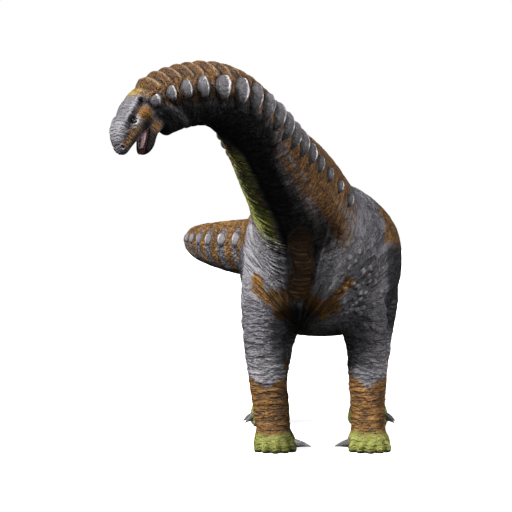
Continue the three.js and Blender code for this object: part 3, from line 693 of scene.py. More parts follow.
def makeSkinBase():
    places = np.linspace(skinValues["bodyFrom"], bodyLength, shellRings["body"])
    shells = [loft("bodyShell", sectionRings(bodyAt(places), shellSides["body"]))]
    for name, stations in legs.items():
        shells.append(loft(name + "Shell", legRings(stations)))
        shells.extend(makeToes(name, stations, name.split("_")[0]))
    body = joinPieces("skin", shells)
    applyModifier(body, "REMESH", mode="VOXEL", voxel_size=skinValues["bodyVoxel"])
    print("body shell", len(body.data.polygons))
    ways = np.linspace(skull["stations"][0][0], skull["stations"][-1][0], shellRings["skull"])
    front = [loft("skullShell", sectionRings(headSections(skull["stations"], ways), shellSides["body"]))]
    ways = np.linspace(jaw["stations"][0][0], jaw["stations"][-1][0], shellRings["jaw"])
    front.append(loft("jawShell", sectionRings(jawSections(jaw["stations"], ways), shellSides["jaw"])))
    places = np.linspace(0, skinValues["napeTo"], shellRings["nape"])
    front.append(loft("napeShell", sectionRings(bodyAt(places), shellSides["body"])))
    front.extend(makeSwelling(name, side) for side in (1, -1) for name in swellings)
    front.extend(makeLips())
    head = joinPieces("headShell", front)
    applyModifier(head, "REMESH", mode="VOXEL", voxel_size=skinValues["headVoxel"])
    print("head shell", len(head.data.polygons))
    cutAcross(body, skinValues["headCut"] + skinValues["joinBand"], False)
    cutAcross(head, skinValues["headCut"] - skinValues["joinBand"], True)
    skin = joinPieces("skin", [body, head])
    bpy.ops.object.mode_set(mode="EDIT")
    selectOpenEdges()
    bpy.ops.mesh.bridge_edge_loops()
    bpy.ops.object.mode_set(mode="OBJECT")
    return skin


skin = makeSkinBase()
print("skin base", len(skin.data.polygons))

placing = {"rings": 900, "sides": 24, "steps": 3, "step": 0.8}


# Where each point of the skin lies along the body line, round it and out from it.
def placesOnBody(points):
    lengths = np.linspace(0, bodyLength, placing["rings"])
    rings = sectionRings(bodyAt(lengths), placing["sides"])
    tree = KDTree(rings.shape[0] * rings.shape[1])
    flat = rings.reshape(-1, 3)
    for i, p in enumerate(flat):
        tree.insert(p, i)
    tree.balance()
    nearest = np.array([tree.find(p)[1] for p in points])
    place = lengths[nearest // placing["sides"]]
    for _ in range(placing["steps"]):
        f = bodyAt(place)
        ahead = np.sum((points - f["at"]) * f["along"], axis=1)
        place = np.clip(place + placing["step"] * ahead, 0, bodyLength)
    f = bodyAt(place)
    offset = points - f["at"]
    a = np.sum(offset * f["left"], axis=1) / f["half"][:, 0]
    u = np.sum(offset * f["up"], axis=1)
    b = u / np.where(u > 0, f["half"][:, 1], f["half"][:, 2])
    power = f["square"] / 2
    angle = np.arctan2(squared(a, power), squared(b, power))
    reach = (np.abs(a) ** f["square"] + np.abs(b) ** f["square"]) ** (1 / f["square"])
    return place, angle, reach


def legShare(points):
    shares = []
    for stations in legs.values():
        z = np.clip(points[:, 2], 0, stations[-1][0])
        row = readTable(stations, z)
        x = (points[:, 0] - middleShift[0] - row[:, 1]) / row[:, 3]
        y = (points[:, 1] - middleShift[1] - row[:, 2]) / row[:, 4]
        shares.append(np.hypot(x, y))
    return np.min(shares, axis=0)


# How far each point lies to the side of its leg's middle, 1 at the leg's side.
def legSideways(points):
    best = np.full(len(points), 1.0)
    for stations in legs.values():
        row = readTable(stations, np.clip(points[:, 2], 0, 2))
        offset = np.abs(points[:, 0] - middleShift[0] - row[:, 1]) / row[:, 3]
        near = np.abs(points[:, 1] - middleShift[1] - row[:, 2]) < 1.2
        best = np.where(near, np.minimum(best, offset), best)
    return best


# Softens the crease where each leg leaves the body, and then a little all over.
def smoothJoins():
    values = {"bodyWidth": 0.22, "legWidth": 0.3, "lowest": 1.6, "strength": 1.3,
              "rounds": 60, "lastRounds": 4}
    points = pointsOf(skin)
    reach = placesOnBody(points)[2]
    joins = bell(reach, 1.03, values["bodyWidth"]) * bell(legShare(points), 1.05, values["legWidth"])
    joins = joins * (points[:, 2] > values["lowest"])
    setGroup(skin, "joins", np.clip(joins * values["strength"], 0, 1))
    applyModifier(skin, "SMOOTH", factor=0.5, iterations=values["rounds"], vertex_group="joins")
    applyModifier(skin, "SMOOTH", factor=0.5, iterations=values["lastRounds"])


smoothJoins()
print("joins smoothed")

# Relief of the skin

relief = {
    "ridgeHeight": 0.055, "tailRidge": 0.45, "ridgeSpread": 0.93, "rimGroove": 0.016,
    "throatFold": 0.012, "throatRing": 0.022, "chestFold": 0.042, "flankFold": 0.014,
    "legFold": 0.016, "toeGroove": 0.016, "toeGrooveWidth": 0.075,
    "brow": 0.032, "browHollow": 0.022, "snoutRing": 0.012, "foreheadCrease": 0.0028,
    "jawLump": 0.022, "cheekWrinkle": 0.006,
}
chestPit = {"x": 0.42, "z": 2.5}  # the folds of the chest spread from here

# Each stroke runs down the front of the animal as x and z in the frame, with its width.
frontStrokes = [
    {"path": [[-0.47, 3.50], [-0.42, 3.28], [-0.26, 3.12], [0.16, 3.22]], "width": 0.10},
    {"path": [[-0.12, 3.10], [0.08, 3.06], [0.06, 2.84]], "width": 0.19},
    {"path": [[0.50, 3.32], [0.62, 3.12], [0.84, 2.98], [1.08, 3.10], [1.34, 3.46]], "width": 0.10},
    {"path": [[0.70, 3.02], [0.86, 2.86], [1.06, 2.94]], "width": 0.17},
]
throatStroke = {"path": [[0.38, 4.3], [0.40, 3.9], [0.40, 3.6], [0.38, 3.3]], "width": 0.23}


def strokeShare(x, z, stroke):
    path = np.array(stroke["path"])
    best = np.full(len(x), 9.0)
    for (x0, z0), (x1, z1) in zip(path[:-1], path[1:]):
        dx, dz = x1 - x0, z1 - z0
        t = np.clip(((x - x0) * dx + (z - z0) * dz) / (dx * dx + dz * dz), 0, 1)
        best = np.minimum(best, np.hypot(x - x0 - t * dx, z - z0 - t * dz))
    return 1 - smoothStep(best, 0.75 * stroke["width"], 1.2 * stroke["width"])


# How far along the row of saddle ridges a point of the back lies, a whole number at each start.
def ridgeCount(place, angle):
    pitches = [ridgeRow["firstPitch"], ridgeRow["lastPitch"]]
    pitch = np.interp(place, [ridgePlaces[0], ridgePlaces[-1]], pitches)
    swept = place - 0.45 * pitch * np.abs(angle) / relief["ridgeSpread"]
    ends = [ridgePlaces[0] - ridgeRow["firstPitch"], ridgePlaces[-1] + 60 * ridgeRow["lastPitch"]]
    counts = [-1, *range(ridgeRow["count"]), ridgeRow["count"] + 59]
    return np.interp(swept, [ends[0], *ridgePlaces, ends[1]], counts) + 0.64


# A wedge that rises slowly towards the tail and drops at its end.
def wedge(count):
    part = count - np.floor(count)
    rise = np.clip(part / 0.66, 0, 1) ** 0.8
    drop = np.clip((1 - part) / 0.34, 0, 1) ** 0.7
    return np.minimum(rise, drop)


# The folds of the chest spread from a low point between the forelegs.
def fanPlace(points):
    x, y, z = points.T
    acrossFan, upFan = x - chestPit["x"], z - chestPit["z"]
    return np.stack([np.arctan2(acrossFan, upFan) * 7.0, np.hypot(acrossFan, upFan) * 1.1, y * 0.5], 1)


def chestShare(points, onLeg):
    _, y, z = points.T
    front = smoothStep(-y, 3.1, 4.0) * (1 - smoothStep(z, 4.4, 4.9)) * smoothStep(z, 2.3, 2.9)
    return front * (1 - 0.55 * onLeg)


# Grooves between the toes at the front of each foot.
def toeGrooves(points):
    depth = np.zeros(len(points))
    for name, stations in legs.items():
        kind = name.split("_")[0]
        _, x, y, across, lengthways = stations[1]
        dx, dy = points[:, 0] - x - middleShift[0], points[:, 1] - y - middleShift[1]
        near = (np.hypot(dx / across, dy / lengthways) < 1.6) * (1 - smoothStep(points[:, 2], 0.22, 0.42))
        around = np.arctan2(dx, -dy)
        angles = toes[kind]["angles"]
        for left, right in zip(angles[:-1], angles[1:]):
            groove = bell(around, (left + right) / 2, relief["toeGrooveWidth"])
            depth += relief["toeGroove"] * near * groove
    return depth


# How near each point lies to the rim of the closest scute, 1 on the rim.
def scuteRims(place, angle, reach):
    nearest = np.argmin(np.abs(place[:, None] - neckPlaces[None, :]), axis=1)
    halfLength, height, _ = neckScute(nearest)
    f = bodyAt(place)
    away = (place - neckPlaces[nearest]) / halfLength
    up = (neckRow["angle"] - np.abs(angle)) * f["half"][:, 1] / height
    away = away - plateShape["lean"] * up
    width = 0.25 + 0.75 * np.clip(1 - np.abs(up) ** 1.8, 0, 1)
    rim = np.abs(away / width) + np.clip(np.abs(up) - 1, 0, 9) * 2
    onRow = (place < neckPlaces[-1] + 0.3) * (reach > 0.7)
    return bell(np.maximum(rim, np.abs(up)), 1.06, 0.20) * onRow


def sculptBody(points, place, angle, reach, onLeg, inHeadZone):
    body = (1 - onLeg) * (1 - inHeadZone)
    turn = np.abs(angle)
    neck = 1 - smoothStep(place, neckEnd - 0.6, neckEnd + 0.8)
    tail = smoothStep(place, tailStart - 0.2, tailStart + 0.8)
    height = relief["ridgeHeight"] * (0.55 + 0.45 * neck) * (1 - 0.75 * smoothStep(place, 5.2, 7.5))
    tailHeight = relief["ridgeHeight"] * relief["tailRidge"] * np.clip(1.5 - tail, 0, 1)
    height = np.where(tail > 0.5, tailHeight, height)
    shape = wedge(ridgeCount(place, angle)) - 0.35
    lift = body * height * shape * (1 - smoothStep(turn, 0.55, 1.12))
    # Folds that carry on down the flank of the neck, and fine rings under it.
    level = np.zeros(len(points))
    warp = 0.5 * noise(np.stack([place * 1.3, angle * 1.2, level], 1), 3)
    rings = ridged(np.stack([(place + 0.10 * warp) * 11, angle * 1.7, level], 1), 11)
    low = smoothStep(turn, 1.3, 2.0)
    lift += body * neck * relief["throatFold"] * rings * (0.35 + 0.65 * low)
    # Chest folds fan out from the pit of the throat.
    x, y, z = points.T
    chest = chestShare(points, onLeg)
    folds = ridged(fanPlace(points) * 1.1, 21)
    lift += chest * relief["chestFold"] * (folds - 0.2) * (1.3 - smoothStep(0.35 - x, 0.1, 0.5))
    lift -= relief["rimGroove"] * body * scuteRims(place, angle, reach)
    throat = smoothStep(-y, 3.0, 4.2) * strokeShare(x, z, throatStroke)
    throatRings = ridged(np.stack([x * 0.8, level, z * 9 + 2.2 * (x - 0.4) ** 2], 1), 22, 1)
    lift = (1 - throat) * lift + throat * relief["throatRing"] * throatRings
    # Horizontal folds round each leg, deeper at the knee.
    cuff = ridged(np.stack([x * 1.3, y * 1.3, (z + 0.05 * noise(points * 1.1, 31)) * 8.5], 1), 32)
    upperLeg = 1 - 0.6 * smoothStep(z, 2.4, 3.4)
    lift += onLeg * relief["legFold"] * cuff * upperLeg * smoothStep(z, 0.1, 0.7)
    lift -= toeGrooves(points)
    # Rough hide on the flanks.
    flank = body * smoothStep(place, neckEnd, neckEnd + 1.5) * (1 - chest)
    lumps = ridged(points * np.array([2.6, 2.2, 3.4]), 41, 3)
    lift += flank * relief["flankFold"] * lumps * 0.6
    return lift


# Lids round the eyeball, its socket and a fold under it.
def eyeRelief(points, side):
    at, out = faceSpot(eye, side)
    offset = points - at
    wide = offset @ np.cross(out, headForward)
    ring = np.hypot(offset @ headForward / eye["long"], wide)
    lid = eye["lid"] * bell(ring, eye["lidAt"], eye["lidWidth"])
    lid -= eye["socket"] * (1 - smoothStep(ring, eye["socketFloor"], eye["socketEdge"]))
    lid += eye["bag"] * bell(ring, eye["bagAt"], eye["bagWidth"]) * smoothStep(wide, -0.02, 0.05)
    near = np.exp(-((offset @ out) / eye["reach"]) ** 2)
    return (near * lid)[:, None] * out


# A hole with a raised rim, for nostrils and ears.
def holeRelief(points, hole, side):
    at, out = faceSpot(hole, side)
    offset = points - at
    ring = np.linalg.norm(offset - np.outer(offset @ out, out), axis=1)
    depth = hole["rim"] * bell(ring, hole["rimAt"], hole["rimWidth"])
    depth -= hole["deep"] * (1 - smoothStep(ring, hole["floor"], hole["edge"]))
    near = np.exp(-((offset @ out) / hole["reach"]) ** 2)
    return (near * depth)[:, None] * out


def sculptHead(points, normals, head, share):
    a, l, u = head.T
    turn = np.abs(l)
    lift = np.zeros(len(points))
    shift = np.zeros((len(points), 3))
    for side in (1, -1):
        shift += eyeRelief(points, side)
        shift += holeRelief(points, nostril, side)
        shift += holeRelief(points, ear, side)
    # Brow ridge above eye and temple, a flat forehead between the two.
    browWay = smoothStep(a, 0.10, 0.24) * (1 - smoothStep(a, 0.62, 0.78))
    browTurn = np.arctan2(turn, np.maximum(u, 1e-3))
    above = smoothStep(u, 0.02, 0.1)
    lift += relief["brow"] * browWay * bell(browTurn, 0.80, 0.13) * above
    lift -= relief["browHollow"] * browWay * bell(browTurn, 1.08, 0.14) * above
    # Snout rings, forehead creases, lumps on the jaw muscle.
    rings = ridged(np.stack([a * 17, l * 3, u * 3], 1), 51)
    snout = smoothStep(a, 0.62, 0.74)
    lift += relief["snoutRing"] * rings * snout * (1 - smoothStep(a, 0.93, 0.99)) * above
    fine = ridged(np.stack([a * 34, l * 5, u * 2], 1), 52)
    forehead = smoothStep(a, 0.0, 0.2)
    lift += relief["foreheadCrease"] * fine * forehead * (1 - smoothStep(a, 0.5, 0.62)) * above
    muscle = np.exp(-((a - 0.285) / 0.13) ** 2 - ((u - 0.04) / 0.13) ** 2)
    muscle *= smoothStep(turn, 0.2, 0.28)
    lift += relief["jawLump"] * muscle * ridged(head * 11, 53, 1)
    wrinkles = ridged(head * np.array([7, 7, 14]), 54, 1)
    lift += relief["cheekWrinkle"] * wrinkles * smoothStep(turn, 0.16, 0.24) * (1 - muscle)
    return share[:, None] * (lift[:, None] * normals + shift)


# Each point's place in the head's own axes, and how far it belongs to the head and to a leg.
def zonesOf(points, reach):
    head = toHead(points)
    nearHead = (np.abs(head[:, 1]) < 0.5) & (head[:, 0] > -0.3) & (head[:, 0] < 1.1)
    nearHead &= np.abs(head[:, 2]) < 0.75
    headShare = np.where(nearHead, smoothStep(head[:, 0] - 0.15 * head[:, 2], -0.02, 0.14), 0)
    share = legShare(points)
    legZone = (1 - smoothStep(share, 1.12, 1.4)) * smoothStep(reach, 0.99, 1.12)
    legZone = np.maximum(legZone, (points[:, 2] < 1.9).astype(float))
    legZone *= points[:, 2] < 4.2
    return head, headShare, legZone


def sculptSkin():
    points, normals = pointsOf(skin), normalsOf(skin)
    place, angle, reach = placesOnBody(points)
    head, headShare, onLeg = zonesOf(points, reach)
    lift = sculptBody(points, place, angle, reach, onLeg, headShare)
    points = points + lift[:, None] * normals + sculptHead(points, normals, head, headShare)
    setPoints(skin, points)


sculptSkin()
print("skin sculpted")
triangles = sum(len(f.vertices) - 2 for f in skin.data.polygons)
applyModifier(skin, "DECIMATE", ratio=min(1, skinValues["mostTriangles"] / triangles))
points = pointsOf(skin)
points[:, 2] = np.maximum(points[:, 2], 0)
setPoints(skin, points)
shadeSmooth(skin)

# Markings

# Marks on the side of the face: how far ahead and up, how long and high, and how strong.
faceMarks = {
    "orange": [
        [0.335, 0.040, 0.13, 0.13, 1.4], [0.36, -0.24, 0.12, 0.10, 1.0],
        [0.93, 0.03, 0.07, 0.09, 1.0], [0.74, 0.05, 0.11, 0.06, 1.0],
        [0.62, -0.01, 0.11, 0.06, 0.9], [0.84, 0.0, 0.08, 0.06, 1.0],
    ],
    "pale": [
        [0.52, 0.085, 0.07, 0.055, 1.0], [0.43, 0.10, 0.05, 0.04, 0.6],
        [0.60, 0.03, 0.05, 0.04, 0.5],
    ],
    # The dark marks are mostly painted shade in the eye socket and in the hollows and creases round the
    # brow, ear, jaw and mouth line, partly dark hide.
    "dark": [
        [0.54, 0.175, 0.095, 0.065, 1.0], [0.45, 0.19, 0.06, 0.05, 0.8],
        [0.20, 0.20, 0.12, 0.06, 0.95], [0.66, 0.13, 0.09, 0.035, 0.85],
        [0.80, 0.10, 0.12, 0.035, 0.8], [0.47, -0.085, 0.17, 0.09, 1.0],
        [0.09, 0.0, 0.13, 0.20, 1.0], [0.74, -0.05, 0.20, 0.045, 0.85],
        [0.20, -0.12, 0.10, 0.06, 0.9],
    ],
}


def faceShare(head, kind):
    a, l, u = head.T
    side = smoothStep(np.abs(l), 0.13, 0.20)
    shares = [strength * np.exp(-(((a - ahead) / long) ** 2 + ((u - up) / high) ** 2) ** 2)
              for ahead, up, long, high, strength in faceMarks[kind]]
    return np.clip(side * np.max(shares, axis=0), 0, 1)


# Where markings fade in or out, each a pair: places in metres along the body line, turns round it from
# the crest in radians, heights in metres above the floor.
fades = {
    "saddleTurn": (0.98, 1.12), "saddleEnd": (4.7, 6.3),
    "scuteBandTurn": (1.66, 1.95), "scuteBandEnd": (5.0, 6.2),
    "lowerStart": (2.2, 3.4), "lowerEnd": (5.7, 6.4), "lowerTurn": (2.2, 2.6),
    "shoulderStart": (7.8, 8.1), "shoulderEnd": (10.0, 10.5), "shoulderWidth": (0.20, 0.32),
    "tailTurn": (0.80, 1.05), "tailBars": (0.19, 0.30),
    "stripWidth": (0.54, 0.76), "stripStart": (1.9, 2.7), "stripEnd": (5.3, 6.0), "stripWear": (0.15, 0.4),
    "underTurn": (1.60, 2.1), "underEnd": (5.2, 5.9),
    "nearHeadTurn": (1.38, 1.7), "nearHeadEnd": (1.4, 2.4),
    "flankStart": (8.0, 8.9), "flankEnd": (12.5, 14.5), "flankTurn": (1.42, 1.7),
    "bellyHeight": (2.85, 3.2), "innerFoot": (1.9, 2.3), "innerTop": (2.9, 3.3), "sole": (0.03, 0.07),
    "shinFoot": (1.3, 1.5), "shinTop": (1.7, 2.2),
}
markPlaces = {"shoulderTurn": 1.20, "stripTurn": 2.32, "cuff": 1.29, "cuffDrop": 0.24, "cuffDrip": 0.06,
              "foreToes": 0.36, "hindToes": 0.58}


# The inside of the mouth: the top of the jaw and the roof of the skull above it.
def mouthShare(points, normals, head):
    a, l, u = head.T
    jawPlace = (points - jawHinge) @ jawAxes.T
    jawRow = readTable(jaw["stations"], np.clip(jawPlace[:, 0], -0.1, 0.65))
    jawTop = smoothStep(jawPlace[:, 2], 0.3 * jawRow[:, 2], 0.8 * jawRow[:, 2]) * (jawPlace[:, 2] < 0.1)
    jawTop *= smoothStep(normals @ jawUp, 0.1, 0.5) * (np.abs(jawPlace[:, 1]) < 0.86 * jawRow[:, 1])
    skullRow = readTable(skull["stations"], np.clip(a, -0.09, 0.98))
    palate = smoothStep(-normals @ headUp, 0.3, 0.6) * (jawPlace[:, 2] > 0.02) * (u < 0)
    palate *= (a > 0.12) & (a < 0.93) & (np.abs(l) < 0.78 * skullRow[:, 2])
    return np.maximum(jawTop * (jawPlace[:, 0] > 0), palate)


def paintSkin():
    points, normals = pointsOf(skin), normalsOf(skin)
    place, angle, reach = placesOnBody(points)
    head, headShare, onLeg = zonesOf(points, reach)
    x, y, z = points.T
    a, l, u = head.T
    turn = np.abs(angle)
    cloud = noise(points * 1.9, 61) + 0.5 * noise(points * 4.7, 62)
    fineCloud = noise(points * 8, 63)
    neck = 1 - smoothStep(place, neckEnd - 0.2, neckEnd + 0.5)
    tail = smoothStep(place, tailStart - 0.1, tailStart + 0.5)
    body = (1 - onLeg) * (1 - headShare)
    # Orange and brown.
    saddle = neck * (1 - smoothStep(turn, *fades["saddleTurn"]))
    saddle = saddle * (1 - smoothStep(place + 0.3 * cloud, *fades["saddleEnd"]))
    stripes = ridged(np.stack([place * 0.35, angle * 8.5, np.full(len(place), 5.0)], 1), 64, 1)
    lower = smoothStep(place, *fades["lowerStart"])
    lower = lower * (1 - smoothStep(place + 0.3 * cloud, *fades["lowerEnd"]))
    flankTurn = np.where(angle > 0, turn, turn + 0.5)
    lowerStripes = lower * smoothStep(stripes + 0.6 * cloud, -0.9, -0.1)
    lowerStripes = lowerStripes * (1 - smoothStep(flankTurn, *fades["lowerTurn"]))
    shaken = turn + 0.12 * cloud + 0.15 * fineCloud
    betweenScutes = neck * (1 - smoothStep(shaken, *fades["scuteBandTurn"]))
    betweenScutes *= 1 - smoothStep(place + 0.4 * cloud, *fades["scuteBandEnd"])
    orange = body * np.max([saddle, lowerStripes, betweenScutes], axis=0)
    front = smoothStep(-y, 3.0, 4.2)
    streaks = 0.85 + 0.2 * ridged(fanPlace(points) * np.array([1.7, 1, 1]), 69, 1)
    for stroke in frontStrokes:
        share = strokeShare(x + 0.05 * cloud, z + 0.08 * fineCloud, stroke)
        orange = np.maximum(orange, front * share * np.clip(streaks + 0.2, 0, 1))
    throat = front * strokeShare(x + 0.04 * cloud, z, throatStroke)
    orange = np.maximum(orange, 0.9 * throat)
    shoulder = body * smoothStep(place + 0.3 * cloud, *fades["shoulderStart"])
    shoulder = shoulder * (1 - smoothStep(place, *fades["shoulderEnd"]))
    fromMiddle = np.abs(turn + 0.12 * cloud - markPlaces["shoulderTurn"])
    shoulder = shoulder * (1 - smoothStep(fromMiddle, *fades["shoulderWidth"]))
    orange = np.maximum(orange, shoulder)
    bars = np.abs((np.interp(place, tailPlaces, np.arange(tailRow["count"])) + 0.5) % 1 - 0.5)
    tailMarks = np.maximum(1 - smoothStep(turn + 0.1 * cloud, *fades["tailTurn"]),
                           smoothStep(bars + 0.05 * cloud, *fades["tailBars"]))
    orange = np.maximum(orange, tail * tailMarks)
    drips = ridged(points * np.array([3.4, 3.4, 0.2]), 66, 1)
    cuff = markPlaces["cuff"] + markPlaces["cuffDrop"] * legSideways(points) ** 1.3
    cuff = cuff + markPlaces["cuffDrip"] * drips
    orange = np.maximum(orange, onLeg * (1 - smoothStep(z, cuff - 0.04, cuff + 0.05)))
    orange = np.maximum(orange, headShare * faceShare(head, "orange"))
    # Yellow-green feet and throat.
    toeLine = np.where(y > -2.6, markPlaces["hindToes"], markPlaces["foreToes"]) + 0.06 * cloud
    green = onLeg * (1 - smoothStep(z, toeLine - 0.06, toeLine + 0.08))
    fromMiddle = np.abs(angle + 0.08 * cloud + markPlaces["stripTurn"])
    strip = neck * (1 - smoothStep(fromMiddle, *fades["stripWidth"]))
    strip = strip * smoothStep(place, *fades["stripStart"])
    strip *= 1 - smoothStep(place, *fades["stripEnd"])
    worn = smoothStep(noise(points * 3.1, 70), *fades["stripWear"])
    orange = np.maximum(orange, strip * worn)
    green = np.maximum(green, body * strip * (1 - worn))
    # Dark, nearly all painted shade: under the neck, head and flank, in the pit of the chest, round the
    # eyes, between the forelegs and on the insides and far side of the legs; the face's marks are partly
    # dark hide, and the feet darken at the very bottom.
    # Painted shade on the neck's underside and, near the head, low on its sides, kept off the green strip
    # and the throat band.
    underTurn = np.where(angle > 0, turn - 0.62 * lower, turn)
    dark = neck * body * smoothStep(underTurn + 0.12 * fineCloud, *fades["underTurn"])
    nearHead = neck * body * smoothStep(turn + 0.1 * fineCloud, *fades["nearHeadTurn"])
    nearHead = nearHead * (1 - smoothStep(place, *fades["nearHeadEnd"]))
    dark = np.maximum(dark, 0.9 * nearHead)
    dark *= (1 - strip) * (1 - 0.8 * throat)
    end = place + 0.25 * cloud - 0.75 * bell(x, 0.55, 0.62)
    dark *= 1 - smoothStep(end, *fades["underEnd"])
    # Painted shadow of the neck on the top of the chest.
    pit = np.exp(-(((x - 0.66) / 0.62) ** 2 + ((z - 4.40) / 0.46) ** 2) ** 2)
    dark = np.maximum(dark, 0.95 * front * pit * (1 - 0.7 * throat) * (1 - strip))
    # Painted shade on the throat band, deepest at its top under the neck.
    dark = np.maximum(dark, throat * (0.2 + 0.5 * smoothStep(z, 3.9, 4.4)))
    # Painted shade low on the chest between the forelegs.
    bellyShade = smoothStep(-y, 2.5, 3.3) * bell(x, 0.36, 0.42)
    bellyShade = bellyShade * (1 - smoothStep(z, *fades["bellyHeight"]))
    dark = np.maximum(dark, 0.85 * bellyShade)
    dark = np.maximum(dark, headShare * faceShare(head, "dark"))
    # Painted shade in the socket round each eye.
    eyeRing = np.hypot((a - eye["along"]) / 1.15, u - 0.18)
    onFace = headShare * smoothStep(np.abs(l), 0.16, 0.22)
    dark = np.maximum(dark, onFace * (1 - smoothStep(eyeRing, 0.055, 0.078)))
    # Painted shade under the head and jaw, fullest towards the back, leaving its orange marks.
    underside = headShare * smoothStep(-u, 0.13, 0.20) * (1 - faceShare(head, "orange"))
    dark = np.maximum(dark, (0.85 + 0.15 * smoothStep(0.3 - a, 0.0, 0.15)) * underside)
    # Painted shade low on the sides of the flank.
    flank = body * smoothStep(place, *fades["flankStart"]) * (1 - smoothStep(place, *fades["flankEnd"]))
    dark = np.maximum(dark, 0.7 * flank * smoothStep(turn + 0.15 * cloud, *fades["flankTurn"]))
    # Painted shade on the insides of the upper forelegs.
    innerLegShade = onLeg * smoothStep(-y, 2.0, 3.0) * smoothStep(z, *fades["innerFoot"])
    innerLegShade = innerLegShade * (1 - smoothStep(z, *fades["innerTop"]))
    innerLegShade *= np.maximum(bell(x, 0.30, 0.30), 0.45 * smoothStep(x, 1.2, 1.5))
    dark = np.maximum(dark, 0.95 * innerLegShade)
    # Painted shade on the animal's left side beyond x 2.12 m, from 1.9 to 4.3 m up.
    edge = smoothStep(x + 0.06 * cloud, 2.12, 2.26) * (1 - smoothStep(z, 4.0, 4.3))
    edge = edge * smoothStep(z, 1.9, 2.3)
    dark = np.maximum(dark, 0.8 * edge)
    sole = onLeg * (1 - smoothStep(z + 0.02 * fineCloud, *fades["sole"]))
    dark = np.maximum(dark, sole)
    # Pale forehead, edge of the brow, lower lid, breast and shins, and the yellow crown.
    above = smoothStep(u, 0.12, 0.24)
    forehead = headShare * above * (1 - smoothStep(np.abs(l), 0.20, 0.27)) * smoothStep(a, 0.08, 0.16)
    browEdge = headShare * bell(np.arctan2(np.abs(l), np.maximum(u, 1e-3)), 0.76, 0.09)
    browEdge *= smoothStep(a, 0.12, 0.2) * (1 - smoothStep(a, 0.56, 0.66)) * above
    forehead *= 0.05 + 0.3 * smoothStep(a, 0.55, 0.7)
    pale = np.max([forehead, 0.55 * browEdge, headShare * faceShare(head, "pale")], axis=0)
    lowerLid = onFace * bell(eyeRing, 0.098, 0.014)
    pale = np.maximum(pale, 0.9 * lowerLid * smoothStep(0.16 - u, -0.02, 0.05))
    chest = chestShare(points, onLeg) * (1 - neck * 0.5) * (1 - throat)
    fromPit = x - chestPit["x"]
    # Pale breasts: partly pale hide, partly painted light, strongest on the breast at +X.
    breast = np.where(fromPit > 0, 1.2 * bell(x, 0.92, 0.50), 0.5)
    breast = breast * chest * smoothStep(np.abs(fromPit), 0.25, 0.5)
    pale = np.maximum(pale, breast * smoothStep(z, 2.9, 3.2))
    shin = onLeg * smoothStep(z, *fades["shinFoot"]) * (1 - smoothStep(z, *fades["shinTop"]))
    pale = np.maximum(pale, 0.35 * shin)
    yellow = np.exp(-((a - 0.15 * u + 0.01) / 0.095) ** 2 - (l / 0.3) ** 2)
    yellow *= smoothStep(u, 0.2, 0.3)
    # What the material reads: shares of tints, zones and tones, then places for the folds to lie along.
    mouth = headShare * mouthShare(points, normals, head)
    # Painted shade in the groove round each neck scute.
    rimShade = scuteRims(place, angle, reach) * body
    for name, shares in (("tint", [orange, green, dark, mouth]),
                         ("zone", [headShare, onLeg, neck * body, np.maximum(chest, throat)]),
                         ("tone", [pale, saddle * body, rimShade, yellow])):
        keepValues(skin, name, "FLOAT_COLOR", np.clip(np.stack(shares, 1), 0, 1))
    ridges = ridgeCount(place, angle)
    keepValues(skin, "bodyPlace", "FLOAT_VECTOR", np.stack([place, angle, ridges], 1))
    knobby = np.exp(-((x - 1.62) / 0.42) ** 2 - ((z - 3.45) / 0.75) ** 2) * smoothStep(-y, 2.4, 3.0)
    keepValues(skin, "knobby", "FLOAT", np.clip(1.4 * knobby, 0, 1))
    smooth = chest * smoothStep(0.35 - x, 0.1, 0.5) * smoothStep(z, 3.2, 3.5)
    keepValues(skin, "smooth", "FLOAT", smooth)
    keepValues(skin, "headPlace", "FLOAT_VECTOR", head)
    level = np.stack([(z - 0.9 * (x - 0.4) ** 2) * 9.0, x * 0.5, y * 0.2], 1)
    spread = fanPlace(points)
    keepValues(skin, "fanPlace", "FLOAT_VECTOR", spread + throat[:, None] * (level - spread))


paintSkin()
print("skin painted")

# Material of the skin


# Ridged noise: thin valleys between swollen folds.
def makeFoldsGroup():
    group, given, result = newGroup(
        "skinFolds", {"Place": "Vector", "Scale": "Float", "Detail": "Float"},
        {"Height": "Float", "Valley": "Float"})
    inputs = {key: given.outputs[key] for key in ("Scale", "Detail")}
    cloud = addNode(group, "TexNoise", {"Vector": given.outputs["Place"], **inputs, "Roughness": 0.55})
    centred = calculate(group, "SUBTRACT", cloud.outputs["Fac"], 0.5)
    height = rampOf(group, calculate(group, "ABSOLUTE", centred), 0.0, 0.16)
    group.links.new(height, result.inputs["Height"])
    group.links.new(rampOf(group, height, 0.0, 0.55, 1, 0), result.inputs["Valley"])
    return group


# Rounded scales with a groove between them and a tone for each.
def makeScalesGroup():
    group, given, result = newGroup(
        "skinScales", {"Place": "Vector", "Scale": "Float", "Groove": "Float"},
        {"Height": "Float", "Gap": "Float", "Tone": "Float", "Dome": "Float"})
    inputs = {"Vector": given.outputs["Place"], "Scale": given.outputs["Scale"]}
    border = addNode(group, "TexVoronoi", inputs, feature="DISTANCE_TO_EDGE")
    cells = addNode(group, "TexVoronoi", inputs, feature="F1")
    height = rampOf(group, border.outputs["Distance"], 0.0, given.outputs["Groove"])
    group.links.new(height, result.inputs["Height"])
    group.links.new(rampOf(group, height, 0.0, 0.5, 1, 0), result.inputs["Gap"])
    group.links.new(rampOf(group, cells.outputs["Distance"], 0.12, 0.52, 1, 0), result.inputs["Dome"])
    tone = addNode(group, "SeparateColor", {"Color": cells.outputs["Color"]}).outputs[0]
    group.links.new(tone, result.inputs["Tone"])
    return group


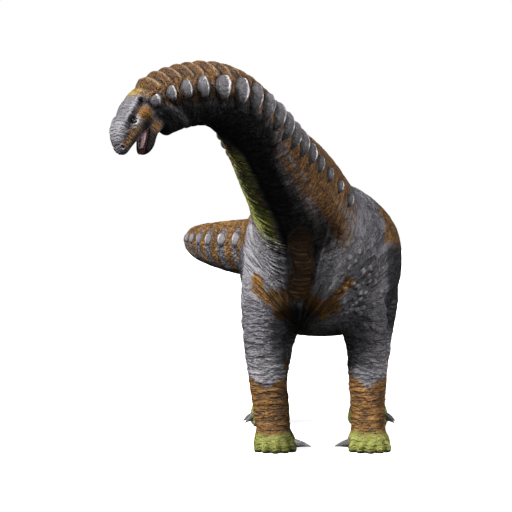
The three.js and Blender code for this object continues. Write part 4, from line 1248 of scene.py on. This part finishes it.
# Cloudy patches between two noise levels.
def makePatchesGroup():
    group, given, result = newGroup(
        "patches", {"Place": "Vector", "Scale": "Float", "Low": "Float", "High": "Float"},
        {"Mask": "Float"})
    cloud = addNode(group, "TexNoise", {"Vector": given.outputs["Place"], "Scale": given.outputs["Scale"],
                                        "Detail": 4.0, "Roughness": 0.6})
    mask = rampOf(group, cloud.outputs["Fac"], given.outputs["Low"], given.outputs["High"])
    group.links.new(mask, result.inputs["Mask"])
    return group


foldsGroup = makeFoldsGroup()
scalesGroup = makeScalesGroup()
patchesGroup = makePatchesGroup()


def grouped(tree, group, **inputs):
    return addNode(tree, "Group", inputs, node_tree=group).outputs


# Several bumps laid one over another, each a height, a depth in metres and a strength.
def bumps(tree, principled, layers):
    normal = None
    for height, distance, strength in layers:
        inputs = {"Height": height, "Distance": distance, "Strength": strength}
        if normal is not None:
            inputs["Normal"] = normal
        normal = addNode(tree, "Bump", inputs).outputs["Normal"]
    tree.links.new(normal, principled.inputs["Normal"])


def stretched(tree, place, scale):
    return addNode(tree, "Mapping", {"Vector": place, "Scale": scale}).outputs["Vector"]


def attributeParts(tree, name):
    colour = addNode(tree, "Attribute", attribute_name=name)
    parts = addNode(tree, "SeparateColor", {"Color": colour.outputs["Color"]}).outputs
    return [*parts, colour.outputs["Alpha"]]


# The black tone is mostly painted shade in creases, grooves, gaps and undersides, and partly dark marks.
skinTones = {
    "grey": (0.170, 0.160, 0.182, 1), "greyLight": (0.36, 0.345, 0.38, 1),
    "greyDark": (0.040, 0.036, 0.040, 1), "palest": (0.52, 0.50, 0.52, 1),
    "orange": (0.37, 0.170, 0.028, 1), "brown": (0.145, 0.062, 0.016, 1), "tan": (0.42, 0.29, 0.18, 1),
    "umber": (0.125, 0.066, 0.028, 1),
    "green": (0.27, 0.285, 0.070, 1), "greenDark": (0.15, 0.15, 0.020, 1),
    "shadeAndMarkBlack": (0.006, 0.0055, 0.0055, 1), "yellow": (0.50, 0.33, 0.07, 1),
    "bark": (0.075, 0.042, 0.022, 1), "lime": (0.46, 0.48, 0.10, 1), "mouth": (0.27, 0.13, 0.135, 1),
}


# Sizes of the patterns (larger numbers are finer), depths of the bumps in metres, and the shine.
skinFinish = {
    "folds": 2.6, "fineFolds": 2.7, "scales": 30.0, "pebbles": 11.0, "studs": 6.0,
    "clouds": 1.1, "blots": 5.5,
    "foldDepth": 0.055, "fineFoldDepth": 0.018, "pebbleDepth": 0.030, "studDepth": 0.09,
    "scaleDepth": 0.005,
    "roughGroove": 0.85, "roughTop": 0.52, "roughMouth": 0.35, "shine": 0.3, "shineDark": 0.06,
}


def makeSkinMaterial():
    material, tree, principled = newMaterial("titanosaurSkin")
    place = addNode(tree, "TexCoord").outputs["Object"]
    onBody = addNode(tree, "Attribute", attribute_name="bodyPlace").outputs["Vector"]
    onHead = addNode(tree, "Attribute", attribute_name="headPlace").outputs["Vector"]
    onChest = addNode(tree, "Attribute", attribute_name="fanPlace").outputs["Vector"]
    orange, green, dark, mouth = attributeParts(tree, "tint")
    headZone, legZone, neckZone, chestZone = attributeParts(tree, "zone")
    pale, saddle, rimShade, yellow = attributeParts(tree, "tone")
    tones = skinTones

    # Folds lie along their own places in each zone, and each zone's height covers the one before.
    def foldHeights(scale):
        height = None
        for zone, spot, stretch, detail in ((None, place, (1.1, 0.8, 1.3), 4.0),
                                            (legZone, place, (0.75, 0.75, 3.0), 2.5),
                                            (neckZone, onBody, (3.0, 0.6, 0.0), 2.5),
                                            (chestZone, onChest, (0.55, 0.45, 0.3), 3.0),
                                            (headZone, onHead, (8.0, 0.8, 0.8), 1.0)):
            spread = stretched(tree, spot, stretch)
            other = grouped(tree, foldsGroup, Place=spread, Scale=scale, Detail=detail)["Height"]
            height = other if zone is None else blended(tree, zone, height, other)
        return height

    values = skinFinish
    broad = foldHeights(values["folds"])
    fine = foldHeights(values["fineFolds"] * values["folds"])
    onFace = rampOf(tree, headZone, 0, 1, 1, 0.35)
    scales = grouped(tree, scalesGroup, Place=place, Scale=values["scales"], Groove=0.16)
    pebbles = grouped(tree, scalesGroup, Place=place, Scale=values["pebbles"], Groove=0.2)
    studs = grouped(tree, scalesGroup, Place=place, Scale=values["studs"], Groove=0.42)
    clouds = grouped(tree, patchesGroup, Place=place, Scale=values["clouds"], Low=0.40, High=0.62)
    blots = grouped(tree, patchesGroup, Place=place, Scale=values["blots"], Low=0.47, High=0.62)
    smoothed = remainder(tree, product(tree, green, legZone))
    # Painted shade in the valleys of the folds, deeper across the chest, less on calm hide and green feet.
    creaseShade = larger(tree, rampOf(tree, broad, 0.0, 0.34, 0.95, 0), rampOf(tree, fine, 0.0, 0.34, 0.5, 0))
    chestCreaseShade = product(tree, rampOf(tree, broad, 0.1, 0.62, 1.0, 0), chestZone)
    creaseShade = larger(tree, creaseShade, chestCreaseShade)
    knobby = addNode(tree, "Attribute", attribute_name="knobby").outputs["Fac"]
    smooth = addNode(tree, "Attribute", attribute_name="smooth").outputs["Fac"]
    calm = larger(tree, product(tree, saddle, 0.75), headZone)
    for zone in (knobby, smooth):
        calm = larger(tree, calm, zone)
    calm = remainder(tree, product(tree, calm, 0.7))
    creaseShadeRaw = product(tree, creaseShade, calm)
    creaseShade = product(tree, creaseShadeRaw, smoothed)
    # Grey hide.
    grey = mixed(tree, product(tree, clouds["Mask"], 0.5), tones["grey"], tones["greyLight"])
    grey = mixed(tree, rampOf(tree, scales["Tone"], 0, 1, 0, 0.4), grey, tones["greyLight"])
    grey = mixed(tree, product(tree, blots["Mask"], 0.3), grey, tones["greyDark"])
    grey = mixed(tree, product(tree, headZone, 0.42), grey, tones["greyDark"])
    grey = mixed(tree, pale, grey, tones["palest"])
    # Orange, worn brown in its blots and folds.
    warm = mixed(tree, product(tree, blots["Mask"], 0.7), tones["orange"], tones["brown"])
    warm = mixed(tree, rampOf(tree, scales["Tone"], 0.5, 1, 0, 0.35), warm, tones["tan"])
    # Saddle ridges: brown, with a tan painted highlight on each crest and a black painted shadow in the
    # drop behind it.
    count = addNode(tree, "SeparateXYZ", {"Vector": onBody}).outputs[2]
    phase = calculate(tree, "FRACT", count)
    crest = product(tree, rampOf(tree, phase, 0.44, 0.62), rampOf(tree, phase, 0.66, 0.80, 1, 0))
    drop = larger(tree, rampOf(tree, phase, 0.80, 0.97), rampOf(tree, phase, 0.0, 0.14, 1, 0))
    worn = mixed(tree, clouds["Mask"], tones["umber"], tones["brown"])
    worn = mixed(tree, blots["Mask"], worn, tones["bark"])
    ridge = mixed(tree, product(tree, crest, 0.65), worn, tones["tan"])
    ridge = mixed(tree, product(tree, drop, 0.93), ridge, tones["shadeAndMarkBlack"])
    warm = mixed(tree, saddle, warm, ridge)
    onNeck = rampOf(tree, saddle, 0, 1, 0.55, 0.1)
    for zone, strength in ((headZone, 0.6), (legZone, 0.42), (neckZone, onNeck)):
        warm = mixed(tree, product(tree, zone, strength), warm, tones["brown"])
    colour = mixed(tree, orange, grey, warm)
    # Yellow-green, with dark blots on the feet and lighter under the neck.
    moss = mixed(tree, product(tree, blots["Mask"], 0.6), tones["green"], tones["greenDark"])
    underNeck = product(tree, neckZone, rampOf(tree, blots["Mask"], 0, 1, 0.9, 0.3))
    moss = mixed(tree, underNeck, moss, tones["lime"])
    colour = mixed(tree, green, colour, moss)
    # Over all of it the yellow crown, then painted shade: the dark marks, round the rims of the scutes, in
    # the valleys of the folds and in the grooves between scales.
    for share, strength, tone in ((yellow, 0.85, "yellow"), (dark, 0.95, "shadeAndMarkBlack"), (rimShade, 0.7, "shadeAndMarkBlack"),
                                  (creaseShade, 0.72, "shadeAndMarkBlack"), (scales["Gap"], 0.18, "shadeAndMarkBlack")):
        colour = mixed(tree, product(tree, share, strength), colour, tones[tone])
    # Painted shade in the gaps between pebbles and round the knobs, and a painted highlight on the knob
    # tops.
    gaps = pebbles["Gap"]
    for zone, outside, inside in ((legZone, 0.55, 0.0), (neckZone, 1, 0.05),
                                  (chestZone, 1, 0.1), (headZone, 1, 0.1)):
        gaps = product(tree, gaps, rampOf(tree, zone, 0, 1, outside, inside))
    studShade = product(tree, rampOf(tree, studs["Dome"], 0.05, 0.3, 0.7, 0), knobby)
    gaps = larger(tree, gaps, studShade)
    knobHighlight = product(tree, product(tree, studs["Dome"], knobby), 0.1)
    colour = mixed(tree, knobHighlight, colour, tones["palest"])
    colour = mixed(tree, gaps, colour, tones["shadeAndMarkBlack"])
    # Painted shade in the fold valleys of the green feet.
    toeCreaseShade = product(tree, product(tree, green, legZone), 0.35)
    colour = mixed(tree, product(tree, toeCreaseShade, creaseShadeRaw), colour, tones["greenDark"])
    colour = mixed(tree, mouth, colour, tones["mouth"])
    tree.links.new(colour, principled.inputs["Base Color"])
    rough = rampOf(tree, scales["Height"], 0, 1, values["roughGroove"], values["roughTop"])
    rough = blended(tree, mouth, rough, values["roughMouth"])
    tree.links.new(rough, principled.inputs["Roughness"])
    shine = rampOf(tree, dark, 0, 1, values["shine"], values["shineDark"])
    tree.links.new(shine, principled.inputs["Specular IOR Level"])
    zones = larger(tree, headZone, larger(tree, legZone, larger(tree, neckZone, chestZone)))
    flank = remainder(tree, zones)
    knobs = product(tree, pebbles["Height"], rampOf(tree, flank, 0, 1, 0.25, 1))
    bumps(tree, principled, [(product(tree, broad, onFace), values["foldDepth"], 0.95),
                             (product(tree, fine, onFace), values["fineFoldDepth"], 0.8),
                             (knobs, values["pebbleDepth"], 0.9),
                             (product(tree, studs["Dome"], knobby), values["studDepth"], 0.9),
                             (scales["Height"], values["scaleDepth"], 0.6)])
    return material


dress(skin, makeSkinMaterial(), "grey_skin", "head", "lower_jaw",
      "neck_1", "neck_2", "neck_3", "neck_4", "torso", "tail_1", "tail_2", "tail_3", "tail_4",
      *[f"{name}_{part}" for name in legs for part in ("upper", "lower")])
print("skin dressed")

# Scutes of neck and tail


# A square sheet with its edge turned down, as the shape every scute starts from.
def plateTemplate(parts):
    bpy.ops.mesh.primitive_grid_add(x_subdivisions=parts, y_subdivisions=parts, size=2)
    piece = bpy.context.object
    bpy.ops.object.mode_set(mode="EDIT")
    selectOpenEdges()
    bpy.ops.mesh.extrude_region_move(TRANSFORM_OT_translate={"value": (0, 0, -1)})
    bpy.ops.object.mode_set(mode="OBJECT")
    points = pointsOf(piece)
    faces = [tuple(face.vertices) for face in piece.data.polygons]
    bpy.data.objects.remove(piece)
    return points, faces


# The scute's footprint is an upright shield, and its height peaks at a keel towards the tail.
def plateOn(place, angle, halfLength, halfHeight, height, seed):
    points = plateSheet[0]
    along, up, below = points[:, 0], points[:, 1], points[:, 2] < -0.5
    lower = np.clip(-up, 0, 1)
    upper = np.clip(up, 0, 1)
    width = (1 - upper ** 2.0) ** 0.7 * (1 - lower ** 1.35) ** 0.8
    width = 0.08 + 0.92 * width
    keel = plateShape["keel"] + 0.10 * np.sin(up * 2 + seed)
    rise = np.clip((along + 1) / (1 + keel), 0, 1) ** 1.15
    drop = np.clip((1 - along) / (1 - keel), 0, 1) ** 1.15
    body = np.minimum(rise, drop) * (1 - np.abs(up) ** 1.9) ** 0.7
    edge = np.clip(3.2 * (1 - np.maximum(np.abs(along), np.abs(up))), 0, 1)
    wear = noise(np.stack([along * 3, up * 4, np.full(len(up), seed * 7.3)], 1), 71)
    top = plateShape["top"] + plateShape["rough"] * wear
    lift = height * (plateShape["edge"] * edge + body * top)
    lift = np.where(below, -plateShape["sunk"], lift)
    f = bodyAt(place + halfLength * (along * width + plateShape["lean"] * up))
    shift = np.sign(angle) * up * halfHeight / f["half"][:, 1]
    return onSection(f, angle - shift, lift), np.stack([(along + 1) / 2, (up + 1) / 2], 1)


plateSheet = plateTemplate(plateShape["parts"])


def addPlates(name, plates):
    points, faces, marks = [], [], []
    for number, plate in enumerate(plates):
        start = sum(len(p) for p in points)
        made, mark = plateOn(*plate, seed=number * 1.7)
        points.append(made)
        marks.append(np.column_stack([mark, np.full(len(made), number % 7 / 7)]))
        faces.extend(tuple(start + i for i in face) for face in plateSheet[1])
    piece = addMesh(name, np.concatenate(points), faces)
    faceOut(piece)
    bpy.ops.object.shade_smooth_by_angle(angle=math.radians(24))
    marks = np.concatenate(marks)
    keepValues(piece, "plate", "FLOAT_COLOR", np.column_stack([marks, np.ones(len(marks))]))
    return piece


def neckPlates(side):
    return [(place, side * neckRow["angle"], *neckScute(i)) for i, place in enumerate(neckPlaces)]


def tailPlates(side):
    plates = []
    first = bodyAt(tailPlaces[0])["half"][0, 1]
    for i, place in enumerate(tailPlaces):
        pitch = np.interp(i, [0, tailRow["count"] - 1], [tailRow["firstPitch"], tailRow["lastPitch"]])
        size = bodyAt(place)["half"][0, 1] / first
        plates.append((place, side * tailRow["angle"], pitch * tailRow["lengthShare"],
                       tailRow["height"] * size, tailRow["rise"] * size))
    return plates


# The keel tone is a painted highlight; the foot tone is the dark of darker scutes and blots and painted
# shade in the grain's valleys.
plateTones = {
    "neckScute": {"face": (0.115, 0.108, 0.122, 1), "keel": (0.72, 0.69, 0.72, 1),
                  "foot": (0.040, 0.032, 0.032, 1)},
    "tailScute": {"face": (0.20, 0.185, 0.20, 1), "keel": (0.50, 0.48, 0.50, 1),
                  "foot": (0.08, 0.07, 0.07, 1)},
}


def makePlateMaterial(name):
    face, keelHighlightTone, foot = [plateTones[name][key] for key in ("face", "keel", "foot")]
    material, tree, principled = newMaterial(name)
    place = addNode(tree, "TexCoord").outputs["Object"]
    along, upward, tone, _ = attributeParts(tree, "plate")
    grain = grouped(tree, foldsGroup, Place=stretched(tree, place, (1.6, 1.6, 1.0)), Scale=11.0, Detail=4.0)
    blots = grouped(tree, patchesGroup, Place=place, Scale=9.0, Low=0.42, High=0.62)
    shaken = calculate(tree, "ADD", along, rampOf(tree, grain["Height"], 0, 1, -0.02, 0.02))
    # A painted highlight along the keel.
    keelPlace = 0.5 + plateShape["keel"] / 2
    keelHighlightShare = product(tree, rampOf(tree, shaken, keelPlace - 0.12, keelPlace - 0.02),
                        rampOf(tree, shaken, keelPlace + 0.02, keelPlace + 0.07, 1, 0))
    colour = mixed(tree, rampOf(tree, tone, 0, 1, 0, 0.4), face, foot)
    colour = mixed(tree, keelHighlightShare, colour, keelHighlightTone)
    colour = mixed(tree, product(tree, blots["Mask"], 0.35), colour, foot)
    # Painted shade in black behind the keel and towards the front, lower and upper ends.
    for way, low, high, atLow, atHigh in ((shaken, keelPlace + 0.02, keelPlace + 0.20, 0, 0.8),
                                          (shaken, 0.03, 0.20, 0.97, 0), (upward, 0.10, 0.42, 0.97, 0),
                                          (upward, 0.88, 1.0, 0, 0.95)):
        share = rampOf(tree, way, low, high, atLow, atHigh)
        colour = mixed(tree, share, colour, skinTones["shadeAndMarkBlack"])
    # Painted shade in the valleys of the grain.
    colour = mixed(tree, product(tree, grain["Valley"], 0.45), colour, foot)
    tree.links.new(colour, principled.inputs["Base Color"])
    tree.links.new(rampOf(tree, grain["Height"], 0, 1, 0.75, 0.45), principled.inputs["Roughness"])
    setUniform(principled, Specular_IOR_Level=0.5)
    bumps(tree, principled, [(grain["Height"], 0.010, 0.8), (blots["Mask"], 0.006, 0.5)])
    return material


neckPlateMaterial = makePlateMaterial("neckScute")
tailPlateMaterial = makePlateMaterial("tailScute")
for word, side in (("Left", 1), ("Right", -1)):
    dress(addPlates("neckScutes" + word, neckPlates(side)), neckPlateMaterial, "neck_skin")
    dress(addPlates("tailScutes" + word, tailPlates(side)), tailPlateMaterial, "tail_skin")
print("scutes made")

# Eyes, tongue and claws


eyeTones = {"rim": (0.03, 0.024, 0.022, 1), "iris": (0.010, 0.007, 0.006, 1),
            "irisRays": (0.055, 0.035, 0.022, 1), "pupil": (0.002, 0.002, 0.002, 1)}


def makeEyeMaterial():
    material, tree, principled = newMaterial("eyeball")
    look = addNode(tree, "Attribute", attribute_name="look")
    outward, around, _ = addNode(tree, "SeparateColor", {"Color": look.outputs["Color"]}).outputs
    turned = addNode(tree, "CombineXYZ", {"X": around}).outputs[0]
    rays = addNode(tree, "TexNoise", {"Vector": turned, "Scale": 40.0, "Detail": 3.0})
    iris = mixed(tree, rays.outputs["Fac"], eyeTones["iris"], eyeTones["irisRays"])
    iris = mixed(tree, rampOf(tree, outward, 0.895, 0.915), iris, eyeTones["pupil"])
    colour = mixed(tree, rampOf(tree, outward, 0.70, 0.74), eyeTones["rim"], iris)
    tree.links.new(colour, principled.inputs["Base Color"])
    setUniform(principled, Roughness=0.2, Coat_Weight=0.8, Coat_Roughness=0.06, Specular_IOR_Level=0.5)
    return material


def makeEye(name, side):
    at, out = faceSpot(eye, side, -eye["radius"] * eye["sunk"])
    piece = addEllipsoid(name, at, headAxes, [eye["radius"]] * 3, segments=48)
    offset = unit(pointsOf(piece) - at)
    across = unit(np.cross(out, headForward))
    turn = np.arctan2(offset @ across, offset @ np.cross(across, out))
    values = np.column_stack([np.clip(offset @ out, 0, 1), turn / (2 * math.pi) + 0.5,
                              np.zeros(len(offset)), np.ones(len(offset))])
    keepValues(piece, "look", "FLOAT_COLOR", values)
    shadeSmooth(piece)
    return piece


eyeMaterial = makeEyeMaterial()
for word, side in (("left", 1), ("right", -1)):
    dress(makeEye("eye" + word.title(), side), eyeMaterial, "eye_dark", "eye_" + word)


# The pink and deep tones are made light as painted light, since the tongue lies in the mouth's shade; the
# darkest tone is painted shade between the buds.
tongueTones = {"pink": (0.92, 0.68, 0.72, 1), "deep": (0.68, 0.42, 0.46, 1), "gap": (0.06, 0.02, 0.02, 1)}


def makeTongueMaterial():
    material, tree, principled = newMaterial("tongueFlesh")
    place = addNode(tree, "TexCoord").outputs["Object"]
    buds = grouped(tree, scalesGroup, Place=place, Scale=90.0, Groove=0.25)
    blots = grouped(tree, patchesGroup, Place=place, Scale=14.0, Low=0.4, High=0.65)
    colour = mixed(tree, blots["Mask"], tongueTones["pink"], tongueTones["deep"])
    # Painted shade between the buds.
    colour = mixed(tree, product(tree, buds["Gap"], 0.4), colour, tongueTones["gap"])
    tree.links.new(colour, principled.inputs["Base Color"])
    setUniform(principled, Roughness=0.32, Coat_Weight=0.4, Coat_Roughness=0.2)
    bumps(tree, principled, [(blots["Mask"], 0.008, 0.6), (buds["Height"], 0.002, 0.7)])
    return material


def makeTongue():
    ways = np.linspace(tongue["stations"][0][0], tongue["stations"][-1][0], 40)
    piece = loft("tongue", sectionRings(jawSections(tongue["stations"], ways, tongue["rise"]), 36))
    points = pointsOf(piece)
    local = (points - jawHinge) @ jawAxes.T
    groove = -0.014 * bell(local[:, 1], 0, 0.022) * (local[:, 2] > tongue["rise"])
    groove += 0.004 * noise(local * 22, 81)
    setPoints(piece, points + groove[:, None] * jawUp)
    shadeSmooth(piece)
    return piece


dress(makeTongue(), makeTongueMaterial(), "tongue_flesh", "tongue")


clawTones = {"grey": (0.13, 0.125, 0.12, 1), "dark": (0.045, 0.042, 0.042, 1),
             "tip": (0.32, 0.30, 0.27, 1), "streak": (0.02, 0.018, 0.018, 1)}


def makeClawMaterial():
    material, tree, principled = newMaterial("clawHorn")
    place = addNode(tree, "TexCoord").outputs["Object"]
    share = addNode(tree, "Attribute", attribute_name="share").outputs["Fac"]
    streaks = grouped(tree, foldsGroup, Place=stretched(tree, place, (1, 1, 5)), Scale=14.0, Detail=4.0)
    blots = grouped(tree, patchesGroup, Place=place, Scale=18.0, Low=0.42, High=0.65)
    colour = mixed(tree, blots["Mask"], clawTones["grey"], clawTones["dark"])
    colour = mixed(tree, rampOf(tree, share, 0.55, 1.0, 0, 0.6), colour, clawTones["tip"])
    colour = mixed(tree, product(tree, streaks["Valley"], 0.5), colour, clawTones["streak"])
    tree.links.new(colour, principled.inputs["Base Color"])
    tree.links.new(rampOf(tree, blots["Mask"], 0, 1, 0.34, 0.6), principled.inputs["Roughness"])
    bumps(tree, principled, [(streaks["Height"], 0.006, 0.7)])
    return material


clawShape = {"sides": 28, "rings": 30, "crowd": 0.9, "taper": 0.93, "taperPower": 1.4, "slim": 0.72,
             "rib": 0.012, "ribs": 70, "sunk": 0.09}


def makeClaw(name, root, direction, claw):
    sides = clawShape["sides"]
    turn = np.arange(sides) / sides * 2 * math.pi
    side = unit(np.cross(direction, [0, 0, 1]))
    shares = np.linspace(0, 1, clawShape["rings"]) ** clawShape["crowd"]
    made = []
    for share in shares:
        at = root + direction * claw["length"] * share - np.array([0, 0, claw["droop"] * share ** 2])
        slope = direction * claw["length"] - np.array([0, 0, 2 * claw["droop"] * share])
        up = np.cross(side, unit(slope))
        ribs = 1 + clawShape["rib"] * math.sin(share * clawShape["ribs"])
        radius = claw["thick"] * (1 - clawShape["taper"] * share ** clawShape["taperPower"]) * ribs
        across = np.outer(np.cos(turn) * radius * clawShape["slim"], side)
        made.append(at + across + np.outer(np.sin(turn) * radius, up))
    piece = loft(name, np.array(made))
    keepValues(piece, "share", "FLOAT", np.append(np.repeat(shares, sides), [0.0, 1.0]))
    shadeSmooth(piece)
    return piece


def makeClaws(material):
    for name, stations in legs.items():
        _, x, y, across, lengthways = stations[1]
        outward = 1 if name.endswith("left") else -1
        for claw in claws[name.split("_")[0]]:
            sideways = -outward if claw["inward"] else outward
            direction = unit(np.array([sideways, -claw["ahead"], 0.0]))
            rim = 1 / math.hypot(direction[0] / across, direction[1] / lengthways)
            root = np.array([x, y, claw["level"]]) + direction * (rim - clawShape["sunk"]) + middleShift
            node = f"{name}_{claw['name']}"
            piece = makeClaw(node.title().replace("_", ""), root, direction, claw)
            dress(piece, material, "claw_horn", node)


makeClaws(makeClawMaterial())
print("eyes, tongue and claws made")
